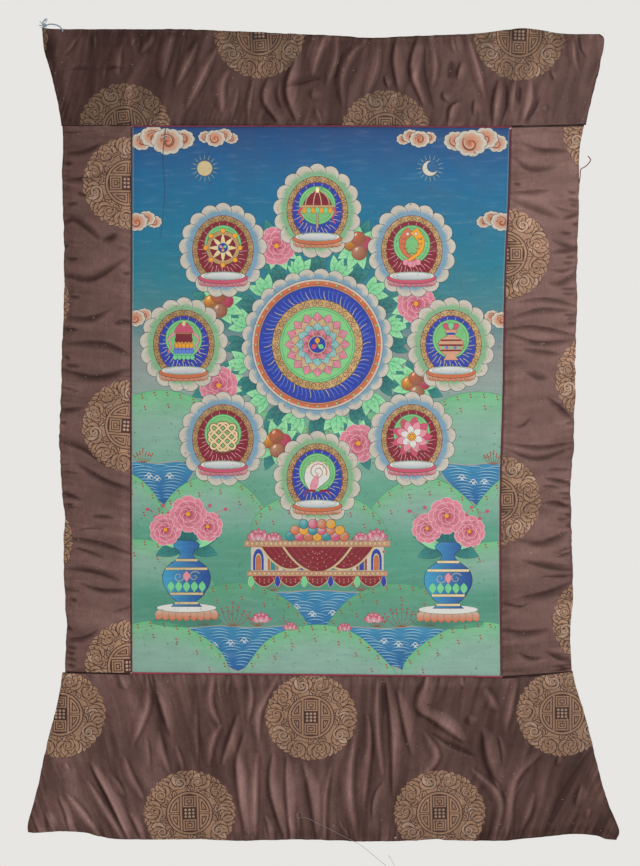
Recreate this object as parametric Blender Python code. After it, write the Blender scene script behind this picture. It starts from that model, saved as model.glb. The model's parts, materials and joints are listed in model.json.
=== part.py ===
# Thangka scroll painting: a painted canvas edged with thin piping and sewn into a mount
# of four satin brocade panels, which gather in soft uneven folds, with a short tie at
# its top left corner.
#
# Metres, +Z up. The wall side of the cloth is at Y = 0 and the folds come forward to -Y.
# X = 0 is the middle of the mount and Z = 0 is the level of its top edge.
# Every table of outline points and folds is in millimetres, as x and z on the wall.

import math
from collections import namedtuple

import bmesh
import bpy
from mathutils import Vector

MM = 0.001

# Cloth and trim sizes
BROCADE_THICKNESS = 1.5 * MM
CANVAS_THICKNESS = 1.2 * MM
CANVAS_COCKLE = 0.5 * MM
PIPING_WIDTH = 2.2 * MM
PIPING_HEIGHT = 2.0 * MM
SEWING_GAP = 0.3 * MM
OVERLAP_GAP = 0.5 * MM

# How far the middle of a panel stands off the wall, and how soon it gets there from an edge
PANEL_STANDOFF = 3.2 * MM
EDGE_STANDOFF = 0.6 * MM
EDGE_REACH = 12.0 * MM
FOLD_END_FADE = 0.16
FOLD_END_SHARE = 0.35
FOLD_EDGE_SHARE = 0.3

# The tie: a thin string and the ring-shaped knot that it passes through
STRING_DIAMETER = 1.6 * MM
KNOT_RADIUS = 2.2 * MM
KNOT_ROLL_RADIUS = 1.0 * MM

# Grid of each sheet, as columns and rows, and the step along a seam and in a curve
TOP_GRID = (103, 7)
BOTTOM_GRID = (103, 10)
SIDE_GRID = (6, 86)
CANVAS_GRID = (10, 14)
SEAM_STEP = 24.0 * MM
CURVE_STEPS = 8

# Each fold runs from its start over its bend to its end. It fades out at its reach to
# either side, and rises (or, with a minus, dips) by its rise.
Fold = namedtuple("Fold", "start_x start_z bend_x bend_z end_x end_z reach rise")

# Seams: the middle of the piping, from left to right or from top to bottom
SEAM_TOP = [(-208.4, -105.8), (0, -105.5), (130, -106.3), (208.8, -106.7)]
SEAM_BOTTOM = [(-208.6, -707.4), (-23, -709.2), (198.6, -711.6)]
SEAM_LEFT = [(-208.4, -105.8), (-208.6, -300), (-209.1, -450), (-208.6, -707.4)]
SEAM_RIGHT = [
    (208.8, -106.7), (206.8, -187), (204, -242), (202.3, -297), (200.6, -407),
    (198, -495), (197.3, -600), (198.6, -711.6),
]

# Top panel: its outline, and the upright folds gathered into its two long edges
TOP_UPPER_EDGE = [
    (-307, 2.5), (-283, 1.1), (-177, 1.1), (-133, 0.5), (-78, -1.7), (-23, -4.4),
    (21, -6.1), (52, -8.6), (87, -7.2), (131, -5.5), (175, -3.3), (197, -0.5),
    (219, 2.0), (236, 1.1), (254, -2.2), (272, -4.2), (307, -4.4),
]
TOP_LEFT_EDGE = [(-305.8, -13), (-303.6, -26), (-298.1, -44), (-292.6, -66), (-288.2, -88)]
TOP_RIGHT_EDGE = [(311.5, -9), (311, -20), (308, -33), (305.8, -44), (300.3, -66), (294.8, -88)]
TOP_LOWER_EDGE = [
    (-285.5, -104.6), (-208.4, -104.4), (0, -104.1), (130, -104.9), (208.8, -105.3),
    (252, -104.8), (291.5, -103.4),
]
TOP_FOLDS = [
    (-219, -16, -223, -28, -224, -50, 10, 2.5),
    (-185, 0, -188, -13, -199, -26, 8, 3),
    (-162, 0, -169, -22, -176, -54, 13, 4),
    (-136, -12, -144, -31, -160, -63, 10, 4),
    (-115, -20, -128, -46, -149, -88, 11, 5),
    (-101, -44, -109, -60, -109, -92, 11, 4),
    (-58, -52, -62, -77, -46, -102, 10, 4),
    (-23, -22, -37, -64, -28, -98, 10, 5),
    (4, -8, -5, -33, -10, -52, 10, 4),
    (18, -8, 16, -33, 6, -62, 9, 4),
    (48, -12, 26, -42, 24, -84, 10, 5),
    (63, -15, 59, -44, 48, -75, 12, 4),
    (84, -8, 81, -33, 86, -70, 10, 4),
    (107, -8, 100, -44, 113, -84, 10, 5),
    (124, -20, 126, -42, 122, -63, 9, 4),
    (162, -10, 173, -46, 180, -76, 10, 5),
    (153, -79, 144, -86, 141, -100, 8, 4),
    (196, -54, 192, -77, 190, -103, 10, 5),
    (214, -54, 211, -75, 209, -92, 9, 3.5),
    (230, -52, 230, -75, 222, -100, 11, 5),
    (276, -8, 278, -28, 283, -48, 8, 3),
    (-40, -64, -24, -58, 2, -52, 7, -3),
]

# Side panels: their outer edges, and the puckers that run across them
LEFT_OUTER_EDGE = [
    (-283.8, -121), (-284.9, -165), (-282.7, -231), (-282.7, -297), (-284.9, -341),
    (-286, -400), (-288.2, -440), (-286, -495), (-281.8, -539), (-283.6, -561),
    (-281.6, -627), (-279.6, -649), (-280.5, -671),
]
LEFT_CORNERS = [(-285.2, -106.4), (-281.6, -705.6)]
LEFT_FOLDS = [
    (-283, -136, -260, -133, -238, -123, 6, -2.5),
    (-283, -165, -260, -163, -232, -155, 6, -3),
    (-283, -214, -271, -210, -242, -232, 8, -3),
    (-242, -232, -234, -229, -224, -223, 8, -2.5),
    (-283, -271, -252, -275, -216, -253, 8, -3),
    (-278, -317, -254, -317, -231, -307, 7, -3),
    (-230, -324, -219, -320, -210, -321, 6, -2.5),
    (-281, -345, -238, -345, -210, -358, 8, -3),
    (-285, -373, -249, -382, -210, -373, 8, -3),
    (-285, -417, -273, -417, -261, -415, 6, -2.5),
    (-286, -453, -260, -463, -235, -482, 7, -3),
    (-271, -475, -238, -495, -210, -505, 7, -3),
    (-285, -508, -274, -512, -263, -517, 6, -2),
    (-281, -559, -245, -564, -210, -576, 7, -3),
    (-279, -593, -249, -597, -220, -607, 7, -3),
    (-265, -609, -240, -616, -210, -616, 6, -3),
    (-278, -670, -260, -668, -244, -659, 6, -2.5),
]
RIGHT_OUTER_EDGE = [
    (286, -121), (283.8, -143), (283.8, -187), (281.6, -264), (282.3, -297),
    (280.5, -330), (279.4, -407), (278.3, -451), (275.2, -495), (275, -528),
    (277.2, -616), (274.2, -665),
]
RIGHT_CORNERS = [(290.2, -105.4), (276, -704.4)]
RIGHT_FOLDS = [
    (218, -123, 239, -131, 274, -133, 6, -2.5),
    (211, -141, 230, -154, 261, -151, 7, -2.5),
    (210, -188, 246, -202, 264, -209, 8, -3.5),
    (264, -209, 274, -206, 284, -201, 6, -3),
    (251, -246, 265, -244, 283, -242, 6, -3),
    (249, -278, 263, -278, 282, -266, 7, -3),
    (210, -316, 241, -308, 279, -309, 7, -3),
    (204, -329, 235, -327, 281, -336, 6, -3),
    (205, -334, 241, -344, 281, -340, 6, -3),
    (221, -351, 246, -354, 265, -357, 7, -2.5),
    (224, -376, 238, -383, 250, -384, 8, -2.5),
    (247, -403, 261, -414, 275, -427, 7, -3.5),
    (204, -455, 241, -459, 278, -454, 6, -2.5),
    (204, -462, 238, -473, 278, -459, 6, -3),
    (244, -493, 263, -496, 276, -500, 6, -3),
    (242, -521, 258, -520, 275, -526, 7, -3.5),
    (217, -562, 243, -564, 272, -552, 9, -3),
    (219, -584, 250, -592, 278, -595, 7, -3.5),
    (217, -625, 246, -620, 277, -607, 9, -3),
    (199, -660, 224, -663, 251, -659, 8, -3),
    (246, -684, 261, -692, 274, -695, 7, -3),
]

# Bottom panel: its outline, and the upright and slanting folds gathered into it
BOTTOM_UPPER_EDGE = [
    (-284.4, -706.8), (-243, -708.8), (-208.6, -708.8), (-23, -710.6), (198.6, -713),
    (230, -711.4), (252, -709), (276.8, -705.6),
]
BOTTOM_LEFT_EDGE = [(-289.3, -737), (-300.3, -781), (-310.2, -825), (-316, -850), (-322.4, -872)]
BOTTOM_RIGHT_EDGE = [
    (281.5, -726), (291.5, -757), (300.9, -796), (305.8, -816), (315.5, -849), (327.8, -879),
]
BOTTOM_LOWER_EDGE = [
    (-322.5, -882.5), (-313, -883.3), (-287, -881.6), (-261, -882.8), (-243, -887.2),
    (-217, -890.4), (-133, -890.4), (-93, -892), (-23, -890.5), (43, -892.6), (98, -892),
    (127, -889.8), (142, -891.5), (197, -892), (215, -890.5), (250, -887.2), (276, -884.6),
    (302, -886.1), (313, -889.9), (325, -891),
]
BOTTOM_FOLDS = [
    (-192, -713, -191, -743, -209, -790, 10, 5),
    (-183, -711, -174, -743, -165, -777, 10, 5),
    (-179, -772, -174, -797, -167, -817, 9, 4),
    (-255, -804, -234, -841, -211, -890, 9, 5),
    (-259, -823, -240, -854, -220, -887, 8, 4),
    (-217, -799, -210, -820, -195, -847, 9, 4),
    (-281, -839, -263, -860, -245, -886, 9, 4),
    (-303, -860, -298, -871, -297, -881, 8, 3),
    (-120, -715, -122, -742, -112, -765, 10, 5),
    (-110, -764, -120, -783, -124, -811, 10, 5),
    (-92, -753, -99, -779, -110, -810, 9, 4),
    (-84, -772, -92, -812, -82, -889, 9, 4),
    (-79, -715, -77, -737, -81, -762, 8, 4),
    (-51, -717, -68, -750, -69, -784, 9, 4),
    (-70, -794, -73, -831, -73, -889, 10, 5),
    (-53, -794, -55, -831, -41, -887, 9, 5),
    (-38, -796, -37, -836, -33, -889, 8, 5),
    (-20, -805, -10, -842, -4, -889, 11, 5),
    (11, -808, 4, -847, 4, -889, 8, 5),
    (37, -775, 31, -831, 38, -889, 12, 6),
    (50, -750, 53, -781, 46, -860, 9, 4),
    (62, -715, 62, -770, 68, -823, 9, 5),
    (72, -717, 79, -775, 79, -845, 9, 5),
    (84, -726, 92, -761, 100, -799, 9, 3.5),
    (117, -712, 107, -743, 120, -757, 13, 6),
    (111, -750, 136, -765, 158, -783, 12, 6),
    (113, -772, 127, -799, 109, -824, 10, 4),
    (179, -724, 186, -735, 194, -749, 12, 4),
    (178, -768, 183, -794, 194, -832, 14, 6),
    (164, -812, 196, -845, 190, -889, 10, 5),
    (214, -717, 206, -753, 202, -774, 11, 4),
    (242, -795, 212, -827, 204, -889, 11, 5),
    (234, -839, 228, -860, 219, -881, 9, 3.5),
    (287, -830, 283, -843, 280, -854, 9, 3),
    (120, -773, 144, -789, 170, -800, 7, -3),
    (296, -792, 268, -836, 247, -881, 7, -3),
]

# The tie's route: over the hem, along the top edge, through the knot and up to its tail
TIE_ROUTE = [
    (-284.0, -5.2, -2.2), (-284.6, -5.4, 0.6), (-288.0, -5.0, 3.9), (-293.0, -4.4, 5.8),
    (-298.5, -4.0, 6.1), (-303.8, -3.8, 4.6), (-305.9, -3.8, 6.4), (-305.2, -3.9, 9.2),
    (-302.4, -4.0, 12.0),
]
KNOT_PLACE = (-304.0, -3.8, 4.6)
STRING_POINTS = 16


def catmull_rom(before, start, end, after, part):
    """One point of the smooth curve that runs from start to end."""
    return 0.5 * (
        2 * start
        + (end - before) * part
        + (2 * before - 5 * start + 4 * end - after) * part ** 2
        + (3 * start - before - 3 * end + after) * part ** 3
    )


def smooth_line(points, count):
    """count + 1 points, evenly spaced, on the smooth curve through points."""
    knots = [Vector(point) for point in points]
    knots = [2 * knots[0] - knots[1]] + knots + [2 * knots[-1] - knots[-2]]
    fine = [knots[1]]
    for index in range(1, len(knots) - 2):
        for step in range(1, CURVE_STEPS + 1):
            fine.append(catmull_rom(*knots[index - 1:index + 3], step / CURVE_STEPS))
    lengths = [0.0]
    for first, second in zip(fine, fine[1:]):
        lengths.append(lengths[-1] + (second - first).length)
    line, place = [], 0
    for index in range(count + 1):
        wanted = lengths[-1] * index / count
        while place < len(fine) - 2 and lengths[place + 1] < wanted:
            place += 1
        span = lengths[place + 1] - lengths[place]
        line.append(fine[place].lerp(fine[place + 1], (wanted - lengths[place]) / span))
    return line


def in_metres(points):
    return [tuple(value * MM for value in point) for point in points]


def shifted(points, across, up):
    """The same line, moved by a distance in metres."""
    return [(x + across, z + up) for x, z in points]


def patch(upper, lower, left, right, columns, rows):
    """Grid of flat points between four edges, row by row from the upper edge down."""
    left = [upper[0]] + left + [lower[0]]
    right = [upper[-1]] + right + [lower[-1]]
    upper, lower = smooth_line(upper, columns), smooth_line(lower, columns)
    left, right = smooth_line(left, rows), smooth_line(right, rows)
    grid = []
    for row in range(rows + 1):
        down = row / rows
        line = []
        for column in range(columns + 1):
            over = column / columns
            between_long = upper[column].lerp(lower[column], down)
            between_short = left[row].lerp(right[row], over)
            corners = upper[0].lerp(upper[-1], over).lerp(lower[0].lerp(lower[-1], over), down)
            line.append(between_long + between_short - corners)
        grid.append(line)
    return grid


def segment_distance(point, start, end):
    """Distance from point to the straight run from start to end, and the part along it."""
    run = end - start
    part = max(0.0, min(1.0, (point - start).dot(run) / run.length_squared))
    return (point - start - run * part).length, part


def fold_strength(point, fold):
    """How much of a fold's rise reaches the point, from 0 to 1."""
    start = Vector((fold.start_x, fold.start_z))
    bend = Vector((fold.bend_x, fold.bend_z))
    end = Vector((fold.end_x, fold.end_z))
    first, first_part = segment_distance(point, start, bend)
    second, second_part = segment_distance(point, bend, end)
    distance, part = (first, first_part / 2) if first < second else (second, 0.5 + second_part / 2)
    if distance >= fold.reach:
        return 0.0
    fade = min(1.0, part / FOLD_END_FADE, (1.0 - part) / FOLD_END_FADE)
    return (0.5 + 0.5 * math.cos(math.pi * distance / fold.reach)) * (
        FOLD_END_SHARE + (1.0 - FOLD_END_SHARE) * fade
    )


def standoff(point, folds, edge_distance):
    """How far the wall side of the cloth stands off the wall at a point."""
    ease = min(1.0, edge_distance / EDGE_REACH)
    ease = ease * ease * (3.0 - 2.0 * ease)
    base = EDGE_STANDOFF + (PANEL_STANDOFF - EDGE_STANDOFF) * ease
    flat = point / MM
    ridge, dip = 0.0, 0.0
    for fold in folds:
        height = fold.rise * MM * fold_strength(flat, fold)
        ridge, dip = max(ridge, height), min(dip, height)
    return max(0.0, base + (ridge + dip) * (FOLD_EDGE_SHARE + (1.0 - FOLD_EDGE_SHARE) * ease))


def nearest_edge(grid, row, column):
    """Distance from a grid point to the closest edge of its panel."""
    point = grid[row][column]
    edges = (grid[0][column], grid[-1][column], grid[row][0], grid[row][-1])
    return min((point - edge).length for edge in edges)


def material(name, colour, roughness):
    made = bpy.data.materials.new(name)
    made.use_nodes = True
    shader = made.node_tree.nodes["Principled BSDF"]
    shader.inputs["Base Color"].default_value = (*colour, 1.0)
    shader.inputs["Roughness"].default_value = roughness
    return made


def add_mesh_object(name, bm, finish):
    bmesh.ops.recalc_face_normals(bm, faces=bm.faces)
    mesh = bpy.data.meshes.new(name)
    bm.to_mesh(mesh)
    bm.free()
    mesh.shade_smooth()
    mesh.set_sharp_from_angle(angle=math.radians(50))
    mesh.materials.append(finish)
    thing = bpy.data.objects.new(name, mesh)
    bpy.context.scene.collection.objects.link(thing)
    thing.parent = bpy.data.objects["thangka"]
    return thing


def ring_of(grid):
    """The outer points of a grid, once round."""
    upper, lower = grid[0], grid[-1]
    right = [line[-1] for line in grid[1:-1]]
    left = [line[0] for line in grid[1:-1]]
    return upper + right + lower[::-1] + left[::-1]


def add_sheet(name, grid, back, thickness, finish, flat_back=False):
    """Closed sheet over a grid. back gives each point's distance off the wall."""
    bm = bmesh.new()
    front_side, back_side = [], []
    for line, depths in zip(grid, back):
        front_side.append([
            bm.verts.new((flat.x, -depth - thickness, flat.y)) for flat, depth in zip(line, depths)
        ])
        back_side.append([
            None if flat_back else bm.verts.new((flat.x, -depth, flat.y))
            for flat, depth in zip(line, depths)
        ])
    if flat_back:
        for row, line in enumerate(grid):
            for column, flat in enumerate(line):
                if row in (0, len(grid) - 1) or column in (0, len(line) - 1):
                    back_side[row][column] = bm.verts.new((flat.x, 0.0, flat.y))
    for row in range(len(grid) - 1):
        for column in range(len(grid[0]) - 1):
            corners = ((row, column), (row + 1, column), (row + 1, column + 1), (row, column + 1))
            bm.faces.new([front_side[r][c] for r, c in corners])
            if not flat_back:
                bm.faces.new([back_side[r][c] for r, c in reversed(corners)])
    front_ring, back_ring = ring_of(front_side), ring_of(back_side)
    for index, front in enumerate(front_ring):
        following = (index + 1) % len(front_ring)
        bm.faces.new((front, front_ring[following], back_ring[following], back_ring[index]))
    if flat_back:
        bm.faces.new(back_ring)
    return add_mesh_object(name, bm, finish)


def add_panel(name, outline, size, folds, finish):
    """A brocade panel: its outline is upper, lower, left and right, in metres."""
    columns, rows = size
    grid = patch(*outline, columns, rows)
    table = [Fold(*row) for row in folds]
    back = [
        [
            standoff(grid[row][column], table, nearest_edge(grid, row, column))
            for column in range(columns + 1)
        ]
        for row in range(rows + 1)
    ]
    return add_sheet(name, grid, back, BROCADE_THICKNESS, finish)


def add_canvas(finish):
    """The painted canvas, which cockles a little in front and is flat behind."""
    inset = PIPING_WIDTH / 2 + SEWING_GAP
    upper = shifted(in_metres(SEAM_TOP), 0, -inset)
    lower = shifted(in_metres(SEAM_BOTTOM), 0, inset)
    left = shifted(in_metres(SEAM_LEFT), inset, 0)
    right = shifted(in_metres(SEAM_RIGHT), -inset, 0)
    upper[0], upper[-1] = (left[0][0], upper[0][1]), (right[0][0], upper[-1][1])
    lower[0], lower[-1] = (left[-1][0], lower[0][1]), (right[-1][0], lower[-1][1])
    columns, rows = CANVAS_GRID
    grid = patch(upper, lower, left[1:-1], right[1:-1], columns, rows)
    back = [
        [
            CANVAS_COCKLE * (0.5 + 0.5 * math.sin(0.9 * row + 1.7 * column))
            for column in range(columns + 1)
        ]
        for row in range(rows + 1)
    ]
    return add_sheet("painting", grid, back, CANVAS_THICKNESS, finish, flat_back=True)


def add_piping(name, seam, across, finish):
    """A half-round strip along a seam. across is the flat direction over its width."""
    length = sum((Vector(b) - Vector(a)).length for a, b in zip(seam, seam[1:]))
    line = smooth_line(seam, max(4, round(length / SEAM_STEP)))
    half = PIPING_WIDTH / 2
    section = [(-half, 0.0), (-half, 0.45), (-0.55 * half, 0.88), (0.0, 1.0)]
    section = section + [(0.55 * half, 0.88), (half, 0.45), (half, 0.0)]
    bm = bmesh.new()
    rings = []
    for place in line:
        rings.append([
            bm.verts.new((place.x + across[0] * over, -PIPING_HEIGHT * out, place.y + across[1] * over))
            for over, out in section
        ])
    for first, second in zip(rings, rings[1:]):
        for index in range(len(section)):
            following = (index + 1) % len(section)
            bm.faces.new((first[index], first[following], second[following], second[index]))
    bm.faces.new(rings[0])
    bm.faces.new(rings[-1])
    return add_mesh_object(name, bm, finish)


def cut_back(seam, distance, end_distance):
    """The seam as metres, shortened downwards at its top and upwards at its foot."""
    line = in_metres(seam)
    line[0] = (line[0][0], line[0][1] - distance)
    line[-1] = (line[-1][0], line[-1][1] + end_distance)
    return line


def add_pipings(finish):
    half = PIPING_WIDTH / 2
    upright = half + SEWING_GAP
    for name, seam in (("piping_top", SEAM_TOP), ("piping_bottom", SEAM_BOTTOM)):
        line = in_metres(seam)
        line[0] = (line[0][0] - half, line[0][1])
        line[-1] = (line[-1][0] + half, line[-1][1])
        add_piping(name, line, (0.0, 1.0), finish)
    for name, seam in (("piping_left", SEAM_LEFT), ("piping_right", SEAM_RIGHT)):
        add_piping(name, cut_back(seam, upright, upright), (1.0, 0.0), finish)


def add_long_panels(finish):
    """The gathered panels above and below the painting."""
    upper = (TOP_UPPER_EDGE, TOP_LOWER_EDGE, TOP_LEFT_EDGE, TOP_RIGHT_EDGE)
    lower = (BOTTOM_UPPER_EDGE, BOTTOM_LOWER_EDGE, BOTTOM_LEFT_EDGE, BOTTOM_RIGHT_EDGE)
    top_outline = [in_metres(edge) for edge in upper]
    bottom_outline = [in_metres(edge) for edge in lower]
    add_panel("brocade_top", top_outline, TOP_GRID, TOP_FOLDS, finish)
    add_panel("brocade_bottom", bottom_outline, BOTTOM_GRID, BOTTOM_FOLDS, finish)


def add_side_panel(name, seam, outward, outer, corners, folds, finish):
    """A puckered panel beside the painting. outward is -1 on the left and 1 on the right."""
    inner = shifted(in_metres(seam), outward * (PIPING_WIDTH / 2 + SEWING_GAP), 0)
    outer = in_metres(outer)
    top_outer, bottom_outer = in_metres(corners)
    top_inner = (inner[0][0], inner[0][1] - OVERLAP_GAP)
    bottom_inner = (inner[-1][0], inner[-1][1] + OVERLAP_GAP)
    if outward < 0:
        outline = ([top_outer, top_inner], [bottom_outer, bottom_inner], outer, inner[1:-1])
    else:
        outline = ([top_inner, top_outer], [bottom_inner, bottom_outer], inner[1:-1], outer)
    add_panel(name, outline, SIDE_GRID, folds, finish)


def add_tie(string_finish):
    """The string is a round tube on its route, and the knot a ring that it passes through."""
    line = smooth_line(in_metres(TIE_ROUTE), STRING_POINTS)
    curve = bpy.data.curves.new("tie_cord", "CURVE")
    curve.dimensions = "3D"
    spline = curve.splines.new("POLY")
    spline.points.add(len(line) - 1)
    for target, place in zip(spline.points, line):
        target.co = (*place, 1.0)
    curve.bevel_depth = STRING_DIAMETER / 2
    curve.bevel_resolution = 2
    curve.use_fill_caps = True
    curve.materials.append(string_finish)
    string = bpy.data.objects.new("tie_cord", curve)
    bpy.context.scene.collection.objects.link(string)
    string.parent = bpy.data.objects["thangka"]

    bpy.ops.mesh.primitive_torus_add(
        major_radius=KNOT_RADIUS, minor_radius=KNOT_ROLL_RADIUS,
        major_segments=14, minor_segments=8,
    )
    knot = bpy.context.object
    knot.name = "tie_knot"
    place = Vector(KNOT_PLACE) * MM
    nearest = min(range(1, len(line) - 1), key=lambda index: (line[index] - place).length)
    direction = line[nearest + 1] - line[nearest - 1]
    knot.location = line[nearest]
    knot.rotation_euler = direction.to_track_quat("Z", "Y").to_euler()
    knot.data.shade_smooth()
    knot.data.materials.append(string_finish)
    knot.parent = bpy.data.objects["thangka"]


def main():
    for thing in list(bpy.data.objects):
        bpy.data.objects.remove(thing)
    frame = bpy.data.objects.new("thangka", None)
    bpy.context.scene.collection.objects.link(frame)

    brocade = material("brown_satin_brocade", (0.115, 0.060, 0.055), 0.42)
    canvas = material("painted_canvas", (0.14, 0.30, 0.33), 0.75)
    red_piping = material("dark_red_piping", (0.13, 0.010, 0.022), 0.6)
    blue_string = material("grey_blue_string", (0.33, 0.45, 0.50), 0.7)

    add_canvas(canvas)
    add_pipings(red_piping)
    add_long_panels(brocade)
    add_side_panel("brocade_left", SEAM_LEFT, -1, LEFT_OUTER_EDGE, LEFT_CORNERS, LEFT_FOLDS, brocade)
    add_side_panel("brocade_right", SEAM_RIGHT, 1, RIGHT_OUTER_EDGE, RIGHT_CORNERS, RIGHT_FOLDS, brocade)
    add_tie(blue_string)


main()
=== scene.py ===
# Thangka scroll painting: the looks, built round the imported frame.
# Metres, +Z up, wall side of the cloth at Y = 0. Outlines, folds and motifs are in millimetres,
# as x and z on the wall, and turned into metres when a mesh is made.
import json
import math
import random

import bpy
import numpy as np
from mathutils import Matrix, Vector
from mathutils.geometry import delaunay_2d_cdt

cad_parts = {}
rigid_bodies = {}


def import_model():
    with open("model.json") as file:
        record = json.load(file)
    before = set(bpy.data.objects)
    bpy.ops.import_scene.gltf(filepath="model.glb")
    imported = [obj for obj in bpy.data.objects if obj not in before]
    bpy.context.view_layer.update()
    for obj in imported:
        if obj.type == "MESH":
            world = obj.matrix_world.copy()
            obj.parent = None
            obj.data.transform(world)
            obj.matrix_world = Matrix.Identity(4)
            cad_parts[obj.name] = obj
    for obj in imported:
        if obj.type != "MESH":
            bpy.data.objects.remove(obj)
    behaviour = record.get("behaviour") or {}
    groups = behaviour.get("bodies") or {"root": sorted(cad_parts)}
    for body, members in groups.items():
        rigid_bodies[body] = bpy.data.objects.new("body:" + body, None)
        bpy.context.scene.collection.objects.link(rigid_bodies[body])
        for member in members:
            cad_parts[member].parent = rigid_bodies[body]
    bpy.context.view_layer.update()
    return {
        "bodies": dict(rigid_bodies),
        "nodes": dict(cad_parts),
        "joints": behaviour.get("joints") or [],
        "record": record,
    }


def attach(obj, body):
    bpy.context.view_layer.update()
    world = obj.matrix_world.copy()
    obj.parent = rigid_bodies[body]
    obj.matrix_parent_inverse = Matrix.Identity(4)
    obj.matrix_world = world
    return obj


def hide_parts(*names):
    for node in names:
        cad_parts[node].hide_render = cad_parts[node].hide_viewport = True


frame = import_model()
mm = 0.001
fullTurn = 2 * math.pi
dice = random.Random(11)
print("frame loaded:", len(frame["nodes"]), "nodes")


# Flat drawing: every outline is an array of x, z in millimetres

def bentBetween(before, start, end, after, part):
    # a place on the smooth curve from start to end
    squared = (2 * before - 5 * start + 4 * end - after) * part ** 2
    cubed = (3 * start - before - 3 * end + after) * part ** 3
    return 0.5 * (2 * start + (end - before) * part + squared + cubed)


def smoothLine(points, step):
    # evenly spaced points on the smooth curve through the given ones
    knots = np.array(points, float)
    knots = np.vstack([2 * knots[0] - knots[1], knots, 2 * knots[-1] - knots[-2]])
    fine = [knots[1]]
    for before, start, end, after in zip(knots, knots[1:], knots[2:], knots[3:]):
        for part in np.arange(1, 9) / 8:
            fine.append(bentBetween(before, start, end, after, part))
    fine = np.array(fine)
    lengths = np.concatenate([[0], np.cumsum(np.linalg.norm(np.diff(fine, axis=0), axis=1))])
    wanted = np.linspace(0, lengths[-1], max(2, round(lengths[-1] / step)) + 1)
    return np.stack([np.interp(wanted, lengths, fine[:, axis]) for axis in range(fine.shape[1])], axis=1)


def polar(x, z, radiusX, radiusZ, angle):
    return np.stack([x + radiusX * np.cos(angle), z + radiusZ * np.sin(angle)], axis=1)


def toward(x, z, angle, reach, tall=1.0):
    return x + reach * math.cos(angle), z + reach * tall * math.sin(angle)


def roundShape(x, z, radiusX, radiusZ=None, count=24, turn=0.0):
    return polar(x, z, radiusX, radiusZ or radiusX, turn + np.arange(count) * fullTurn / count)


def scallop(x, z, radiusX, radiusZ, lobes, bulge=0.12, turn=0.0):
    # round lobes that meet in cusps
    place = np.arange(lobes * 6) / 6
    swellBy = 1 + bulge * np.sin(np.pi * (place % 1)) ** 0.7
    return polar(x, z, radiusX * swellBy, radiusZ * swellBy, turn + place / lobes * fullTurn)


def petal(x, z, angle, length, width, outward=1.0, fullness=1.0, count=8):
    # a leaf or petal from its root. outward above 1 moves its widest place to the tip
    along = np.linspace(0, 1, count)
    half = width / 2 * np.abs(np.sin(np.pi * along ** outward)) ** fullness
    run = np.concatenate([along, along[-2:0:-1]]) * length
    side = np.concatenate([half, -half[-2:0:-1]])
    return np.stack([x + run * math.cos(angle) - side * math.sin(angle),
        z + run * math.sin(angle) + side * math.cos(angle)], axis=1)


def sidesOf(points):
    # the way across the line at each point
    run = np.gradient(points, axis=0)
    run /= np.maximum(np.linalg.norm(run, axis=1, keepdims=True), 1e-9)
    return np.stack([-run[:, 1], run[:, 0]], axis=1)


def stroke(points, startWidth, endWidth=None):
    # a brush line that tapers from one width to the other
    points = np.array(points, float)
    side = sidesOf(points)
    widths = np.linspace(startWidth, startWidth if endWidth is None else endWidth, len(points))[:, None] / 2
    return np.concatenate([points + side * widths, (points - side * widths)[::-1]])


def spindle(points, width, fullness=0.8):
    # a leaf or crease round a bent line, widest in the middle
    points = np.array(points, float)
    half = width / 2 * np.sin(np.pi * np.linspace(0, 1, len(points)))[:, None] ** fullness
    side = sidesOf(points) * half
    return np.concatenate([points + side, (points - side)[-2:0:-1]])


def spiral(x, z, startRadius, endRadius, startAngle, turns):
    part = np.linspace(0, 1, int(abs(turns) * 13) + 3)
    radius = startRadius + (endRadius - startRadius) * part
    return polar(x, z, radius, radius, startAngle + turns * fullTurn * part)


def bow(startX, startZ, endX, endZ, rise=0.2, count=7):
    # a bent line between two places. rise is the bend's height as a share of its length
    part = np.linspace(0, 1, count)[:, None]
    start, end = np.array([startX, startZ], float), np.array([endX, endZ], float)
    across = np.array([start[1] - end[1], end[0] - start[0]])
    return start + (end - start) * part + across * rise * 4 * part * (1 - part)


def spoke(x, z, angle, inner, outer, rise, count, tall=1.0, lean=0.0):
    # a bent line away from a middle
    return bow(*toward(x, z, angle, inner, tall), *toward(x, z, angle + lean, outer, tall), rise, count)


def signedArea(points):
    after = np.roll(points, -1, axis=0)
    return 0.5 * float(np.sum(points[:, 0] * after[:, 1] - after[:, 0] * points[:, 1]))


def swell(points, distance):
    # the outline moved outwards by a distance
    points = np.array(points, float)
    run = np.roll(points, -1, axis=0) - np.roll(points, 1, axis=0)
    run /= np.maximum(np.linalg.norm(run, axis=1, keepdims=True), 1e-9)
    out = np.stack([run[:, 1], -run[:, 0]], axis=1) * (1 if signedArea(points) > 0 else -1)
    return points + out * distance


def placed(points, x, z, scale=1.0, turn=0.0, squash=1.0, mirror=False):
    points = np.array(points, float) * (-scale if mirror else scale, scale)
    turned = np.stack([points[:, 0] * math.cos(turn) - points[:, 1] * math.sin(turn),
        points[:, 0] * math.sin(turn) + points[:, 1] * math.cos(turn)], axis=1)
    return turned * (1, squash) + (x, z)


def insideOf(x, z, outline):
    inside = np.zeros(len(x), bool)
    for (ax, az), (bx, bz) in zip(outline, np.roll(outline, -1, axis=0)):
        if az != bz:
            crosses = (az > z) != (bz > z)
            inside ^= crosses & (x < (bx - ax) * (z - az) / (bz - az) + ax)
    return inside


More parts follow.
